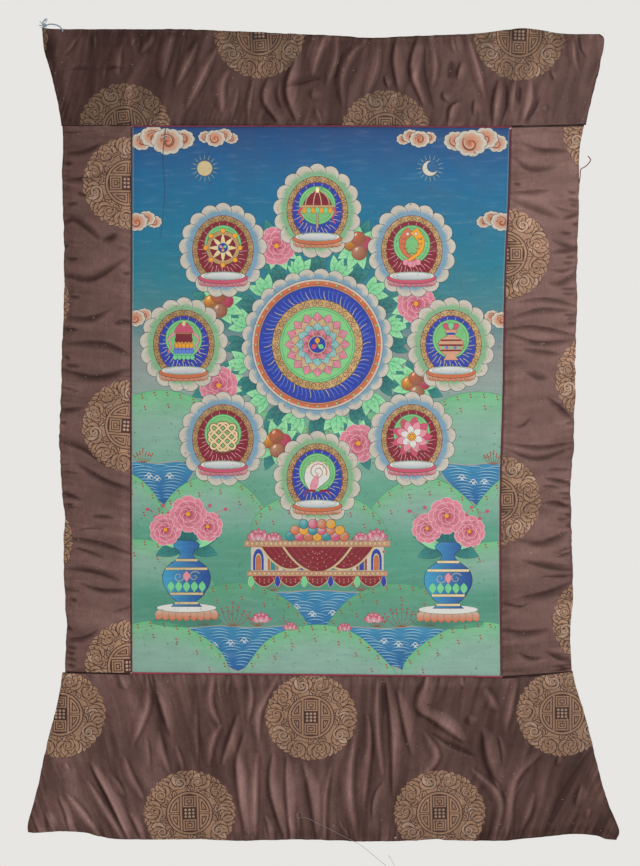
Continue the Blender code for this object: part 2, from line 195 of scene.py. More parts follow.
def lineDistance(x, z, line):
    # distance to a line of points, the part of its length where it is nearest, and the side
    best, where, side = np.full(len(x), 1e9), np.zeros(len(x)), np.zeros(len(x))
    count = len(line) - 1
    for index in range(count):
        (ax, az), (bx, bz) = line[index], line[index + 1]
        runX, runZ = bx - ax, bz - az
        part = np.clip(((x - ax) * runX + (z - az) * runZ) / max(runX ** 2 + runZ ** 2, 1e-9), 0, 1)
        distance = np.hypot(x - ax - runX * part, z - az - runZ * part)
        nearer = distance < best
        best[nearer], where[nearer] = distance[nearer], (index + part[nearer]) / count
        side[nearer] = np.sign(runX * (z - az) - runZ * (x - ax))[nearer]
    return best, where, side


def softNoise(x, z, seed):
    # a smooth random value, -1 to 1, that changes over about one unit
    table = np.random.default_rng(seed).uniform(-1, 1, (61, 61))
    column, row = np.floor(x).astype(int), np.floor(z).astype(int)
    partX, partZ = x - column, z - row
    partX, partZ = partX * partX * (3 - 2 * partX), partZ * partZ * (3 - 2 * partZ)
    low = table[column % 61, row % 61] * (1 - partX) + table[(column + 1) % 61, row % 61] * partX
    high = table[column % 61, (row + 1) % 61] * (1 - partX) + table[(column + 1) % 61,
        (row + 1) % 61] * partX
    return low * (1 - partZ) + high * partZ


# Paint layers: a list of outline, fill, cover and gilding. A fill is a colour of 0 to 255, or a
# function of x and z that gives one

pictureLayers = []


def colourOf(colour):
    # a colour, or a fill, or one of the picture's hues by name
    return hue[colour] if isinstance(colour, str) else colour


def graded(first, last, start, end):
    # a colour that turns from first at start to last at end, along a straight line
    first, last = np.array(colourOf(first), float), np.array(colourOf(last), float)
    run = np.array(end, float) - np.array(start, float)

    def fill(x, z):
        part = ((x - start[0]) * run[0] + (z - start[1]) * run[1]) / float(run @ run)
        return first + (last - first) * np.clip(part, 0, 1)[..., None]
    return fill


def rounded(middle, rim, x0, z0, radius):
    # a colour that turns from the middle's to the rim's
    middle, rim = np.array(colourOf(middle), float), np.array(colourOf(rim), float)

    def fill(x, z):
        part = np.clip(np.hypot(x - x0, z - z0) / radius, 0, 1)
        return middle + (rim - middle) * part[..., None]
    return fill


def stepped(heights, colours):
    # a colour that changes with height. heights rise
    colours = np.array(colours, float)

    def fill(x, z):
        return np.stack([np.interp(z, heights, colours[:, channel]) for channel in range(3)], axis=-1)
    return fill


def lay(points, fill, edge=None, edgeWidth=0.55, cover=1.0, gilt=0.0):
    # one more shape of the picture, over a wider one of the edge's colour
    if edge is not None:
        pictureLayers.append((swell(points, edgeWidth), colourOf(edge), cover, 0.0))
    pictureLayers.append((np.array(points, float), colourOf(fill), cover, gilt))


def triangulate(outline, layers, extra):
    # all outlines and extra points in one flat mesh, with the layers that cover each triangle
    places, faces = [], []
    for points in [outline] + [layer[0] for layer in layers]:
        if signedArea(points) < 0:
            points = points[::-1]
        faces.append(list(range(len(places), len(places) + len(points))))
        places.extend(Vector((float(x), float(z))) for x, z in points)
    places.extend(Vector((float(x), float(z))) for x, z in extra)
    flat, _, triangles, fromPoints, _, covering = delaunay_2d_cdt(places, [], faces, 0, 1e-4, True)
    kept = [(corners, over) for corners, over in zip(triangles, covering) if over and 0 in over]
    return (np.array([tuple(place) for place in flat]), np.array([corners for corners, _ in kept]),
        [over for _, over in kept], fromPoints)


def paintCorners(flat, triangles, covering, layers, ground):
    # paints the layers one over another, at each corner of each triangle
    cornerX, cornerZ = flat[triangles, 0], flat[triangles, 1]
    colour = np.zeros((*triangles.shape, 3)) + (ground(cornerX, cornerZ) if callable(ground) else ground)
    gilt = np.zeros(triangles.shape)
    touched = [[] for _ in range(len(layers) + 1)]
    for index, over in enumerate(covering):
        for layer in over:
            touched[layer].append(index)
    for (_, fill, cover, layerGilt), hit in zip(layers, touched[1:]):
        if hit:
            wet = fill(cornerX[hit], cornerZ[hit]) if callable(fill) else np.array(fill, float)
            colour[hit] += (wet - colour[hit]) * cover
            gilt[hit] += (layerGilt - gilt[hit]) * cover
    return colour, gilt


# Cloth meshes

def linked(name, data):
    made = bpy.data.objects.new(name, data)
    bpy.context.scene.collection.objects.link(made)
    return made


def gridPoints(outline, spacing, margin):
    low, high = outline.min(axis=0), outline.max(axis=0)
    across, up = np.meshgrid(np.arange(low[0], high[0], spacing), np.arange(low[1], high[1], spacing))
    across = across + (np.arange(len(across)) % 2)[:, None] * spacing / 2
    x, z = across.ravel(), up.ravel()
    ring = np.vstack([outline, outline[:1]])
    kept = insideOf(x, z, outline) & (lineDistance(x, z, ring)[0] > margin)
    return np.stack([x[kept], z[kept]], axis=1)


def boundaryLoop(triangles):
    edges = set()
    for a, b, c in triangles:
        edges.update(((a, b), (b, c), (c, a)))
    following = {a: b for a, b in edges if (b, a) not in edges}
    loop = [next(iter(sorted(following)))]
    while following[loop[-1]] != loop[0]:
        loop.append(following[loop[-1]])
    return loop


def clothSheet(name, outline, layers, ground, depthAt, setting, materials, shadeAt=None):
    # a closed thin sheet: its painted front, a plain back and the rim between them
    extra = gridPoints(outline, setting["grid"], setting["grid"] * 0.6)
    flat, triangles, covering, _ = triangulate(outline, layers, extra)
    colour, gilt = paintCorners(flat, triangles, covering, layers, ground)
    used = np.unique(triangles)
    renumber = np.full(len(flat), -1)
    renumber[used] = np.arange(len(used))
    flat, triangles = flat[used], renumber[triangles]
    loop = boundaryLoop(triangles.tolist())

    backExtra = gridPoints(outline, setting["backGrid"], setting["backGrid"] * 0.6)
    backFlat, backTriangles, _, fromPoints = triangulate(flat[loop], [], backExtra)
    atLoop = {old: index for index, olds in enumerate(fromPoints) for old in olds if old < len(loop)}
    reach = 0.5  # the stretch over which a slope is measured

    def slopes(x, z, depth):
        return (depthAt(x + reach, z) - depth) / reach, (depthAt(x, z + reach) - depth) / reach

    depth, backDepth = depthAt(*flat.T), depthAt(*backFlat.T)
    slopeX, slopeZ = slopes(*flat.T, depth)
    soft = setting["normalShare"]
    normal = np.stack([-slopeX * soft, np.full(len(flat), -1.0), -slopeZ * soft], axis=1)
    normal /= np.linalg.norm(normal, axis=1, keepdims=True)
    ring = flat[loop]
    along = np.roll(ring, -1, axis=0) - np.roll(ring, 1, axis=0)
    along /= np.linalg.norm(along, axis=1, keepdims=True)
    outward = np.stack([along[:, 1], np.zeros(len(loop)), -along[:, 0]], axis=1)
    normal[loop] += outward * setting["rimRound"]
    normal[loop] /= np.linalg.norm(normal[loop], axis=1, keepdims=True)
    backSlopeX, backSlopeZ = slopes(*backFlat.T, backDepth)
    backNormal = np.stack([backSlopeX, np.ones(len(backFlat)), backSlopeZ], axis=1)
    backNormal /= np.linalg.norm(backNormal, axis=1, keepdims=True)

    thick = setting["thick"]
    front = np.stack([flat[:, 0], -depth - thick, flat[:, 1]], axis=1)
    back = np.stack([backFlat[:, 0], -backDepth, backFlat[:, 1]], axis=1)
    count = len(front)
    faces = triangles.tolist() + [[count + c, count + b, count + a] for a, b, c in backTriangles.tolist()]
    normals = [tuple(normal[corner]) for face in triangles for corner in face]
    normals += [tuple(backNormal[corner]) for a, b, c in backTriangles.tolist() for corner in (c, b, a)]
    for index, corner in enumerate(loop):
        following = (index + 1) % len(loop)
        faces.append([loop[following], corner, count + atLoop[index], count + atLoop[following]])
        normals += [tuple(outward[following]), tuple(outward[index]), tuple(outward[index]),
            tuple(outward[following])]

    mesh = bpy.data.meshes.new(name)
    mesh.from_pydata((np.vstack([front, back]) * mm).tolist(), [], faces)
    mesh.materials.append(materials[0])
    mesh.materials.append(materials[1])
    slots = np.zeros(len(faces), np.int32)
    slots[len(triangles):] = 1
    mesh.polygons.foreach_set("material_index", slots)
    mesh.shade_smooth()
    corners = len(mesh.loops)
    tint = np.ones((corners, 4))
    painted = colour.reshape(-1, 3)
    # the satin's painted sheen and shade: the colour turns toward satinShade where the painted sheen is
    # low, and gold is darkened as painted shade
    if shadeAt is not None:
        sheen = shadeAt(*flat.T, slopeX, slopeZ)[triangles].reshape(-1, 1)
        low = np.array(setting["satinShade"])
        painted = np.where(gilt.reshape(-1, 1) > 0.01,
            painted * (1 - setting["goldPaintedShade"] * (1 - np.clip(sheen, 0, 1))), low + (painted - low) * sheen)
    tint[:len(painted), :3] = np.clip(painted / 255, 0, 1)
    tint[len(painted):, :3] = np.array(setting["backTint"]) / 255
    mesh.color_attributes.new("tint", "BYTE_COLOR", "CORNER").data.foreach_set("color_srgb", tint.ravel())
    gold = np.zeros(corners)
    gold[:gilt.size] = gilt.ravel()
    mesh.attributes.new("gilding", "FLOAT", "CORNER").data.foreach_set("value", gold)
    mesh.normals_split_custom_set(normals)
    piece = linked(name, mesh)
    print(f"{name}: {sum(len(face) - 2 for face in faces)} triangles, {len(layers)} layers")
    return piece


# Materials

def shaderGroup(name, numbers, results):
    # a group that takes a place and numbers, given with their defaults
    group = bpy.data.node_groups.new(name, "ShaderNodeTree")
    group.interface.new_socket("Vector", in_out="INPUT", socket_type="NodeSocketVector")
    for label, value in numbers.items():
        socket = group.interface.new_socket(label, in_out="INPUT", socket_type="NodeSocketFloat")
        socket.default_value = value
    for label in results:
        group.interface.new_socket(label, in_out="OUTPUT", socket_type="NodeSocketFloat")
    return group, group.nodes.new("NodeGroupInput"), group.nodes.new("NodeGroupOutput")


def connect(tree, source, socket):
    # a link, or the value itself
    if isinstance(source, bpy.types.NodeSocket):
        tree.links.new(source, socket)
    else:
        socket.default_value = source


def node(tree, kind, links=None, **values):
    # a node with its settings, and links by input name or number
    made = tree.nodes.new(kind)
    for name, value in values.items():
        setattr(made, name, value)
    for name, source in (links or {}).items():
        connect(tree, source, made.inputs[name])
    return made


def arithmetic(tree, operation, first, second=0.0, third=0.0):
    made = node(tree, "ShaderNodeMath", {0: first, 1: second, 2: third}, operation=operation)
    return made.outputs[0]


def makeWeaveGroup():
    # crossing threads in relief, with threads that vary in thickness
    group, given, result = shaderGroup("clothWeave",
        {"Warp Pitch": 0.5, "Weft Pitch": 0.5, "Slub": 0.3, "Contrast": 0.12}, ("Height", "Shade"))
    place = node(group, "ShaderNodeSeparateXYZ", {0: given.outputs["Vector"]})
    waves = []
    for axis, pitch in (("X", "Warp Pitch"), ("Z", "Weft Pitch")):
        turns = arithmetic(group, "DIVIDE", place.outputs[axis], given.outputs[pitch])
        wave = arithmetic(group, "SINE", arithmetic(group, "MULTIPLY", turns, fullTurn * 1000))
        waves.append(arithmetic(group, "MULTIPLY_ADD", wave, 0.5, 0.5))
    crossed = arithmetic(group, "MAXIMUM", *waves)
    uneven = node(group, "ShaderNodeTexNoise", {"Vector": given.outputs["Vector"], "Scale": 900.0,
        "Detail": 2.0})
    slub = arithmetic(group, "MULTIPLY", uneven.outputs["Fac"], given.outputs["Slub"])
    height = arithmetic(group, "ADD", crossed, slub)
    group.links.new(height, result.inputs["Height"])
    shade = arithmetic(group, "MULTIPLY_ADD", height, given.outputs["Contrast"], 1.0)
    shade = arithmetic(group, "SUBTRACT", shade, given.outputs["Contrast"])
    group.links.new(shade, result.inputs["Shade"])
    return group


def makeStreakGroup():
    # soft uneven tone, stretched along one way of the cloth, and patches of wear
    group, given, result = shaderGroup("streaksAndWear", {"Across": 300.0, "Along": 30.0, "Patch": 14.0},
        ("Streak", "Wear"))
    stretch = node(group, "ShaderNodeCombineXYZ", {0: given.outputs["Across"], 1: given.outputs["Across"],
        2: given.outputs["Along"]})
    scaled = node(group, "ShaderNodeVectorMath", {0: given.outputs["Vector"], 1: stretch.outputs[0]},
        operation="MULTIPLY")
    fine = node(group, "ShaderNodeTexNoise", {"Vector": scaled.outputs[0], "Scale": 1.0, "Detail": 3.0})
    patch = node(group, "ShaderNodeTexNoise", {"Vector": given.outputs["Vector"], "Detail": 4.0})
    group.links.new(given.outputs["Patch"], patch.inputs["Scale"])
    group.links.new(fine.outputs["Fac"], result.inputs["Streak"])
    group.links.new(patch.outputs["Fac"], result.inputs["Wear"])
    return group


weaveGroup = makeWeaveGroup()
streakGroup = makeStreakGroup()


def newMaterial(name, roughness, **constants):
    made = bpy.data.materials.new(name)
    made.use_nodes = True
    tree = made.node_tree
    shader = tree.nodes["Principled BSDF"]
    shader.inputs["Roughness"].default_value = roughness
    for label, value in constants.items():
        shader.inputs[label.replace("_", " ")].default_value = value
    place = node(tree, "ShaderNodeTexCoord").outputs["Object"]
    return made, tree, shader, place


def mixColour(tree, blend, amount, first, second):
    made = node(tree, "ShaderNodeMix", data_type="RGBA", blend_type=blend)
    for place, source in ((0, amount), (6, first), (7, second)):
        connect(tree, source, made.inputs[place])
    return made.outputs[2]


def remap(tree, value, fromLow, fromHigh, toLow, toHigh):
    return node(tree, "ShaderNodeMapRange", {0: value, 1: fromLow, 2: fromHigh, 3: toLow,
        4: toHigh}).outputs[0]


def bumped(tree, shader, height, strength, distance):
    bump = node(tree, "ShaderNodeBump", {"Height": height, "Strength": strength, "Distance": distance})
    tree.links.new(bump.outputs[0], shader.inputs["Normal"])


def clothTone(tree, place, weaveValues, streakValues, colour, contrast):
    # a colour under its weave and its uneven dye
    weave = node(tree, "ShaderNodeGroup", {"Vector": place, **weaveValues}, node_tree=weaveGroup)
    streaks = node(tree, "ShaderNodeGroup", {"Vector": place, **streakValues}, node_tree=streakGroup)
    tone = remap(tree, streaks.outputs["Streak"], 0.3, 0.7, 1 - contrast, 1 + contrast)
    tone = arithmetic(tree, "MULTIPLY", tone, weave.outputs["Shade"])
    wear = remap(tree, streaks.outputs["Wear"], 0.3, 0.7, 1 - contrast, 1 + contrast)
    tone = arithmetic(tree, "MULTIPLY", tone, wear)
    return mixColour(tree, "MULTIPLY", 1.0, colour, tone), weave, streaks


brocadeLook = {
    "roughness": 0.40, "goldRoughness": 0.52, "goldMetal": 0.35, "warp": 0.42, "weft": 0.6,
    "toneContrast": 0.06, "grain": 0.16, "grainScale": 620.0, "bump": 0.18, "bumpDepth": 0.00025,
    "lintScale": 460.0, "lintRange": (0.83, 0.87), "lintTint": (0.36, 0.31, 0.31, 1.0),
}


def makeBrocadeMaterial():
    made, tree, shader, place = newMaterial("brownSatinBrocade", brocadeLook["roughness"],
        Sheen_Weight=0.04, Sheen_Roughness=0.45, Sheen_Tint=(1.0, 0.78, 0.74, 1.0), Specular_IOR_Level=0.24,
        Specular_Tint=(1.0, 0.66, 0.6, 1.0))
    # the tint holds the painted colour, with the satin's painted sheen and shade in it
    tint = node(tree, "ShaderNodeAttribute", attribute_name="tint").outputs["Color"]
    gold = node(tree, "ShaderNodeAttribute", attribute_name="gilding").outputs["Fac"]
    toned, weave, streaks = clothTone(tree, place, {"Warp Pitch": brocadeLook["warp"],
        "Weft Pitch": brocadeLook["weft"], "Slub": 0.5}, {"Across": 520.0, "Along": 60.0, "Patch": 22.0},
        tint, brocadeLook["toneContrast"])
    grain = node(tree, "ShaderNodeTexNoise", {"Vector": place, "Scale": brocadeLook["grainScale"],
        "Detail": 1.0})
    grain = remap(tree, grain.outputs["Fac"], 0.25, 0.75, 1 - brocadeLook["grain"],
        1 + brocadeLook["grain"])
    lint = node(tree, "ShaderNodeTexNoise", {"Vector": place, "Scale": brocadeLook["lintScale"],
        "Detail": 0.0})
    lint = remap(tree, lint.outputs["Fac"], *brocadeLook["lintRange"], 0.0, 0.6)
    toned = mixColour(tree, "MIX", lint, mixColour(tree, "MULTIPLY", 1.0, toned, grain),
        brocadeLook["lintTint"])
    tree.links.new(toned, shader.inputs["Base Color"])
    rough = remap(tree, gold, 0.0, 1.0, brocadeLook["roughness"], brocadeLook["goldRoughness"])
    rough = arithmetic(tree, "ADD", rough, remap(tree, streaks.outputs["Wear"], 0.3, 0.7, -0.05, 0.05))
    tree.links.new(rough, shader.inputs["Roughness"])
    tree.links.new(arithmetic(tree, "MULTIPLY", gold, brocadeLook["goldMetal"]), shader.inputs["Metallic"])
    bumped(tree, shader, arithmetic(tree, "ADD", weave.outputs["Height"], streaks.outputs["Streak"]),
        brocadeLook["bump"], brocadeLook["bumpDepth"])
    return made


def makePlainCloth(name, colour, pitch, roughness, contrast, **constants):
    made, tree, shader, place = newMaterial(name, roughness, **constants)
    toned, weave, streaks = clothTone(tree, place, {"Warp Pitch": pitch, "Weft Pitch": pitch * 1.2,
        "Slub": 0.8}, {"Across": 200.0, "Along": 40.0, "Patch": 18.0}, (*colour, 1.0), contrast)
    tree.links.new(toned, shader.inputs["Base Color"])
    tree.links.new(remap(tree, streaks.outputs["Wear"], 0.3, 0.7, roughness - 0.06, roughness + 0.06),
        shader.inputs["Roughness"])
    bumped(tree, shader, weave.outputs["Height"], 0.4, 0.0003)
    return made


paintLook = {"roughness": 0.58, "goldRoughness": 0.33, "goldMetal": 0.75, "pitch": 0.85,
    "hazeTint": (0.36, 0.38, 0.37, 1.0), "speckTint": (0.05, 0.045, 0.04, 1.0)}


def makePaintMaterial():
    made, tree, shader, place = newMaterial("paintedCotton", paintLook["roughness"],
        Specular_IOR_Level=0.35)
    tint = node(tree, "ShaderNodeAttribute", attribute_name="tint").outputs["Color"]
    gold = node(tree, "ShaderNodeAttribute", attribute_name="gilding").outputs["Fac"]
    toned, weave, streaks = clothTone(tree, place, {"Warp Pitch": paintLook["pitch"],
        "Weft Pitch": paintLook["pitch"], "Slub": 0.6}, {"Across": 34.0, "Along": 210.0, "Patch": 30.0},
        tint, 0.065)
    rubbed = remap(tree, streaks.outputs["Streak"], 0.56, 0.76, 0.0, 0.12)
    toned = mixColour(tree, "MIX", rubbed, toned, paintLook["hazeTint"])
    specks = node(tree, "ShaderNodeTexNoise", {"Vector": place, "Scale": 330.0,
        "Detail": 3.0}).outputs["Fac"]
    toned = mixColour(tree, "MIX", remap(tree, specks, 0.66, 0.72, 0.0, 0.6), toned, paintLook["speckTint"])
    tree.links.new(toned, shader.inputs["Base Color"])
    rough = remap(tree, gold, 0.0, 1.0, paintLook["roughness"], paintLook["goldRoughness"])
    rough = arithmetic(tree, "ADD", rough, remap(tree, streaks.outputs["Wear"], 0.3, 0.7, -0.06, 0.06))
    tree.links.new(rough, shader.inputs["Roughness"])
    tree.links.new(arithmetic(tree, "MULTIPLY", gold, paintLook["goldMetal"]), shader.inputs["Metallic"])
    bumped(tree, shader, arithmetic(tree, "ADD", weave.outputs["Height"], specks), 0.22, 0.00025)
    return made


brocadeMaterial = makeBrocadeMaterial()
brocadeReverse = makePlainCloth("brocadeReverse", (0.085, 0.052, 0.048), 0.6, 0.72, 0.14)
paintMaterial = makePaintMaterial()
bareCotton = makePlainCloth("bareCotton", (0.52, 0.46, 0.36), 0.9, 0.85, 0.12)
# one copy of the piping cloth for each side, lighter or darker as painted light and shade: the left one
# darkest, the bottom one lightest
pipingShadedTones = {"top": (0.17, 0.02, 0.045), "bottom": (0.27, 0.025, 0.055), "left": (0.065, 0.016, 0.02),
    "right": (0.105, 0.013, 0.028)}
pipingMaterials = {side: makePlainCloth("darkRedPipingPaintedShade" + side.capitalize(), tone, 0.5, 0.6, 0.2,
    Sheen_Weight=0.1) for side, tone in pipingShadedTones.items()}
brownThread = makePlainCloth("brownThread", (0.06, 0.035, 0.034), 0.3, 0.6, 0.2)
stringMaterial = makePlainCloth("greyBlueString", (0.30, 0.40, 0.45), 0.3, 0.7, 0.25, Sheen_Weight=0.3)
redThread = makePlainCloth("darkRedThread", (0.22, 0.01, 0.03), 0.3, 0.6, 0.2)
nylonThread = makePlainCloth("paleNylonThread", (0.30, 0.25, 0.27), 0.3, 0.4, 0.1)
whiteThread = makePlainCloth("whiteThread", (0.7, 0.68, 0.66), 0.3, 0.6, 0.1)


# The camera stands square to the wall. The picture is 640 by 866, 1.1 mm to a pixel at the cloth

cameraSpot = {"x": -0.0011, "z": -0.4433, "away": 2.649, "lens": 100, "sensor": 36}


def makeCamera():
    made = bpy.data.cameras.new("camera")
    made.lens, made.sensor_width = cameraSpot["lens"], cameraSpot["sensor"]
    camera = linked("camera", made)
    camera.location = (cameraSpot["x"], -cameraSpot["away"], cameraSpot["z"])
    camera.rotation_euler = (math.pi / 2, 0, 0)
    bpy.context.scene.camera = camera


makeCamera()

# Seams: the middle of the piping

seams = {
    "top": [(-208.4, -105.8), (0, -105.5), (130, -106.3), (208.8, -106.7)],
    "bottom": [(-208.6, -707.4), (-23, -709.2), (198.6, -711.6)],
    "left": [(-208.4, -105.8), (-208.6, -300), (-209.1, -450), (-208.6, -707.4)],
    "right": [(208.8, -106.7), (206.8, -187), (204, -242), (202.3, -297), (200.6, -407), (198, -495),
    (197.3, -600), (198.6, -711.6)],
}

# Panels. Each edge is a list of x, z; the seam edges reach under the piping

brocade = {
    "thick": 1.5, "grid": 1.8, "backGrid": 4.2, "backTint": (84, 60, 58), "rimRound": 0.8,
    "normalShare": 0.34, "edgeStandoff": 0.6, "standoff": 3.2, "edgeReach": 12.0, "edgeShare": 0.4,
    "edgeStep": 2.4, "runOff": 9.0, "taper": 0.7, "sharpShare": 0.5, "softShare": 1.15, "wrinkle": 0.45,
    "dipShare": 0.55, "pleat": 0.4, "pleatWide": 2.6, "pleatReach": 13.0, "hemWidth": 3.4, "hemRise": 0.25,
    # satin is the satin's painted lit colour and satinShade its painted shade; seamShade is painted shadow;
    # the Sheen numbers set painted highlights and shade
    "satin": (146, 113, 107), "satinShade": (60, 41, 37), "gold": (185, 147, 119), "glint": (200, 168, 143),
    "gap": (80, 53, 48), "seamShade": (28, 17, 16), "glowSheen": 0.46, "glowWide": 0.66, "crestShare": 0.4,
    "crestWide": 0.22, "shadowSheen": 0.32, "shadowWide": 0.22, "dipSheen": 0.58, "dipWide": 0.55,
    "nickReach": 4.2, "nickRise": -1.7, "dipGlow": 0.14, "streakSheen": 0.24, "pleatSheen": 0.36,
    "cloudSheen": 0.08, "mottleSheen": 0.05, "sideSheen": 0.22, "sheenRange": (-0.16, 1.1),
}

topPanel = {
    "upper": [(-307, 2.5), (-283, 1.1), (-177, 1.1), (-133, 0.5), (-78, -1.7), (-23, -4.4), (21, -6.1),
    (52, -8.6), (87, -7.2), (131, -5.5), (175, -3.3), (197, -0.5), (219, 2.0), (236, 1.1), (254, -2.2),
    (272, -4.2), (307, -4.4)],
    "lower": [(-285.5, -105.4), (-208.4, -105.5), (0, -105.1), (130, -105.9), (208.8, -106.4),
    (252, -105.5), (291.5, -104.2)],
    "left": [(-305.8, -13), (-303.6, -26), (-298.1, -44), (-292.6, -66), (-288.2, -88)],
    "right": [(311.5, -9), (311, -20), (308, -33), (305.8, -44), (300.3, -66), (294.8, -88)],
    "pucker": 0.35, "seamed": ["lower"], "upright": True, "goldPaintedShade": 0.42, "lustre": (-0.05, 0.27),
    "streaky": 1.0, "lean": 0.22, "flare": 0.0, "flareFrom": 0, "facing": -0.7,
    # x, z at the start, bend and end of a fold, then its reach and its rise
    "folds": [(-219, -16, -223, -28, -224, -50, 10, 2.5), (-185, 0, -188, -13, -199, -26, 8, 3),
    (-162, 0, -169, -22, -176, -54, 13, 4), (-136, -12, -144, -31, -160, -63, 10, 4),
    (-115, -20, -128, -46, -149, -88, 11, 5), (-101, -44, -109, -60, -109, -92, 11, 4),
    (-58, -52, -62, -77, -46, -102, 10, 4), (-23, -22, -37, -64, -28, -98, 10, 5),
    (4, -8, -5, -33, -10, -52, 10, 4), (18, -8, 16, -33, 6, -62, 9, 4), (48, -12, 26, -42, 24, -84, 10, 5),
    (63, -15, 59, -44, 48, -75, 12, 4), (84, -8, 81, -33, 86, -70, 10, 4),
    (107, -8, 100, -44, 113, -84, 10, 5), (124, -20, 126, -42, 122, -63, 9, 4),
    (162, -10, 173, -46, 180, -76, 10, 5), (153, -79, 144, -86, 141, -100, 8, 4),
    (196, -54, 192, -77, 190, -103, 10, 5), (214, -54, 211, -75, 209, -92, 9, 3.5),
    (230, -52, 230, -75, 222, -100, 11, 5), (276, -8, 278, -28, 283, -48, 8, 3),
    (-40, -64, -24, -58, 2, -52, 7, -3), (-249, -2, -249, -11, -249, -20, 5.7, 1.4),
    (-205, -9, -207, -13, -209, -18, 5.7, 1.4), (-238, -38, -239, -47, -240, -55, 5.7, 1.4),
    (-267, -6, -278, -22, -285, -28, 5.7, 1.4), (-45, -55, -46, -72, -41, -88, 4.8, 2),
    (-74, -55, -78, -75, -80, -97, 5.7, 2.4), (-91, -61, -94, -77, -99, -97, 6.6, 1.6),
    (-7, -63, -8, -70, -9, -77, 9.5, 1.6), (-6, -86, -3, -92, -1, -99, 5.7, 2.4),
    (70, -50, 72, -57, 74, -64, 5.7, 2.4), (144, -9, 146, -20, 150, -28, 4.8, 2),
    (155, -35, 152, -46, 150, -55, 5.7, 2.4), (134, -68, 136, -74, 139, -79, 7.6, 2.6),
    (169, -77, 169, -85, 168, -94, 6.6, 2.6), (253, -44, 255, -50, 257, -55, 5.7, 2.4),
    (285, -9, 288, -22, 293, -30, 4.8, 2), (245, -82, 246, -86, 246, -90, 7.6, 1.6),
    (-278, -44, -261, -43, -243, -44, 3.8, -1.6), (-243, -42, -229, -41, -216, -41, 3.8, -1.6),
    (202, -55, 204, -77, 199, -99, 6.6, -2.5), (219, -61, 218, -72, 218, -82, 5.7, -2.4),
    (241, -72, 235, -86, 227, -99, 4.8, -2), (142, -33, 141, -44, 140, -55, 9.5, -2.5),
    (114, -16, 113, -50, 124, -88, 8.5, -2.5), (48, -13, 26, -42, 24, -82, 2.4, -1)],
    # x, z of a woven medallion's middle, its turn and its upright squash
    "medallions": [(-67.7, -3.3, 0.05, 1.0), (218.1, -5.5, -0.04, 1.0), (-216.0, -108.9, 0.1, 1.0),
    (71.0, -116.6, 0.0, 1.0), (-350.4, -6.0, 0.4, 1.0)],
    # painted seam shadows, dark lines of painted shadow: x, z at the start and end, width there
    "seamShadows": [(-285, -105.2, -208, -104.8, 1.6, 1.2), (209, -105.6, 292, -104.0, 1.8, 1.2)],
}

leftPanel = {
    "upper": [(-285.0, -103.4), (-208.8, -103.0)], "lower": [(-281.8, -708.8), (-209.0, -710.4)],
    "left": [(-283.8, -121), (-284.9, -165), (-282.7, -231), (-282.7, -297), (-284.9, -341), (-286, -400),
    (-288.2, -440), (-286, -495), (-281.8, -539), (-283.6, -561), (-281.6, -627), (-279.6, -649),
    (-280.5, -671)],
    "right": [(-209.0, -300), (-209.5, -450)],
    "pucker": 0.75, "seamed": ["upper", "lower", "right"], "upright": False, "goldPaintedShade": 0.34,
    "lustre": (0.35, 0.6), "streaky": 0.55, "lean": 0.1, "facing": -0.3,
    "folds": [(-283, -136, -260, -133, -238, -123, 6, -2.5), (-283, -165, -260, -163, -232, -155, 6, -3),
    (-283, -214, -271, -210, -242, -232, 8, -3), (-242, -232, -234, -229, -224, -223, 8, -2.5),
    (-283, -271, -252, -275, -216, -253, 8, -3), (-278, -317, -254, -317, -231, -307, 7, -3),
    (-230, -324, -219, -320, -210, -321, 6, -2.5), (-281, -345, -238, -345, -210, -358, 8, -3),
    (-285, -373, -249, -382, -210, -373, 8, -3), (-285, -417, -273, -417, -261, -415, 6, -2.5),
    (-286, -453, -260, -463, -235, -482, 7, -3), (-271, -475, -238, -495, -210, -505, 7, -3),
    (-285, -508, -274, -512, -263, -517, 6, -2), (-281, -559, -245, -564, -210, -576, 7, -3),
    (-279, -593, -249, -597, -220, -607, 7, -3), (-265, -609, -240, -616, -210, -616, 6, -3),
    (-278, -670, -260, -668, -244, -659, 6, -2.5), (-283, -113, -272, -113, -261, -112, 2.8, -1.2),
    (-285, -393, -275, -396, -265, -399, 2.8, -1.2), (-286, -484, -276, -486, -265, -487, 2.8, -1.2),
    (-285, -524, -275, -525, -265, -527, 2.8, -1.2), (-254, -535, -240, -535, -227, -536, 4.8, -2),
    (-271, -551, -246, -548, -237, -551, 2.8, -1.2), (-273, -568, -254, -574, -238, -581, 3.8, -1.6),
    (-282, -615, -271, -616, -262, -619, 2.8, -1.2), (-230, -641, -219, -638, -209, -635, 2.8, -1.2),
    (-280, -674, -265, -673, -254, -671, 2.8, -1.2)],
    # short creases at the seam or hem: x, z at both ends
    "nicks": [(-283, -147, -273, -146), (-269, -179, -257, -182), (-281, -192, -267, -190),
    (-283, -236, -277, -238), (-281, -251, -267, -252), (-277, -293, -264, -294), (-284, -328, -266, -330),
    (-283, -358, -275, -362), (-283, -368, -265, -370), (-219, -268, -210, -267), (-288, -431, -279, -432),
    (-282, -521, -272, -522), (-276, -626, -267, -627), (-281, -655, -273, -660), (-280, -678, -268, -680),
    (-280, -684, -270, -686), (-280, -690, -268, -693), (-280, -697, -269, -700)],
    "medallions": [(-211.8, -168.3, 1.57, 1.0), (-212.3, -435.6, 1.5, 1.0), (-209.6, -699.6, 1.6, 1.0),
    (-326.7, -299.2, 1.57, 1.0), (-323.4, -562.1, 1.57, 1.0)],
    "seamShadows": [(-280, -706.2, -256, -707.2, 2.0, 1.6), (-256, -707.2, -210, -707.8, 1.6, 1.2)],
}

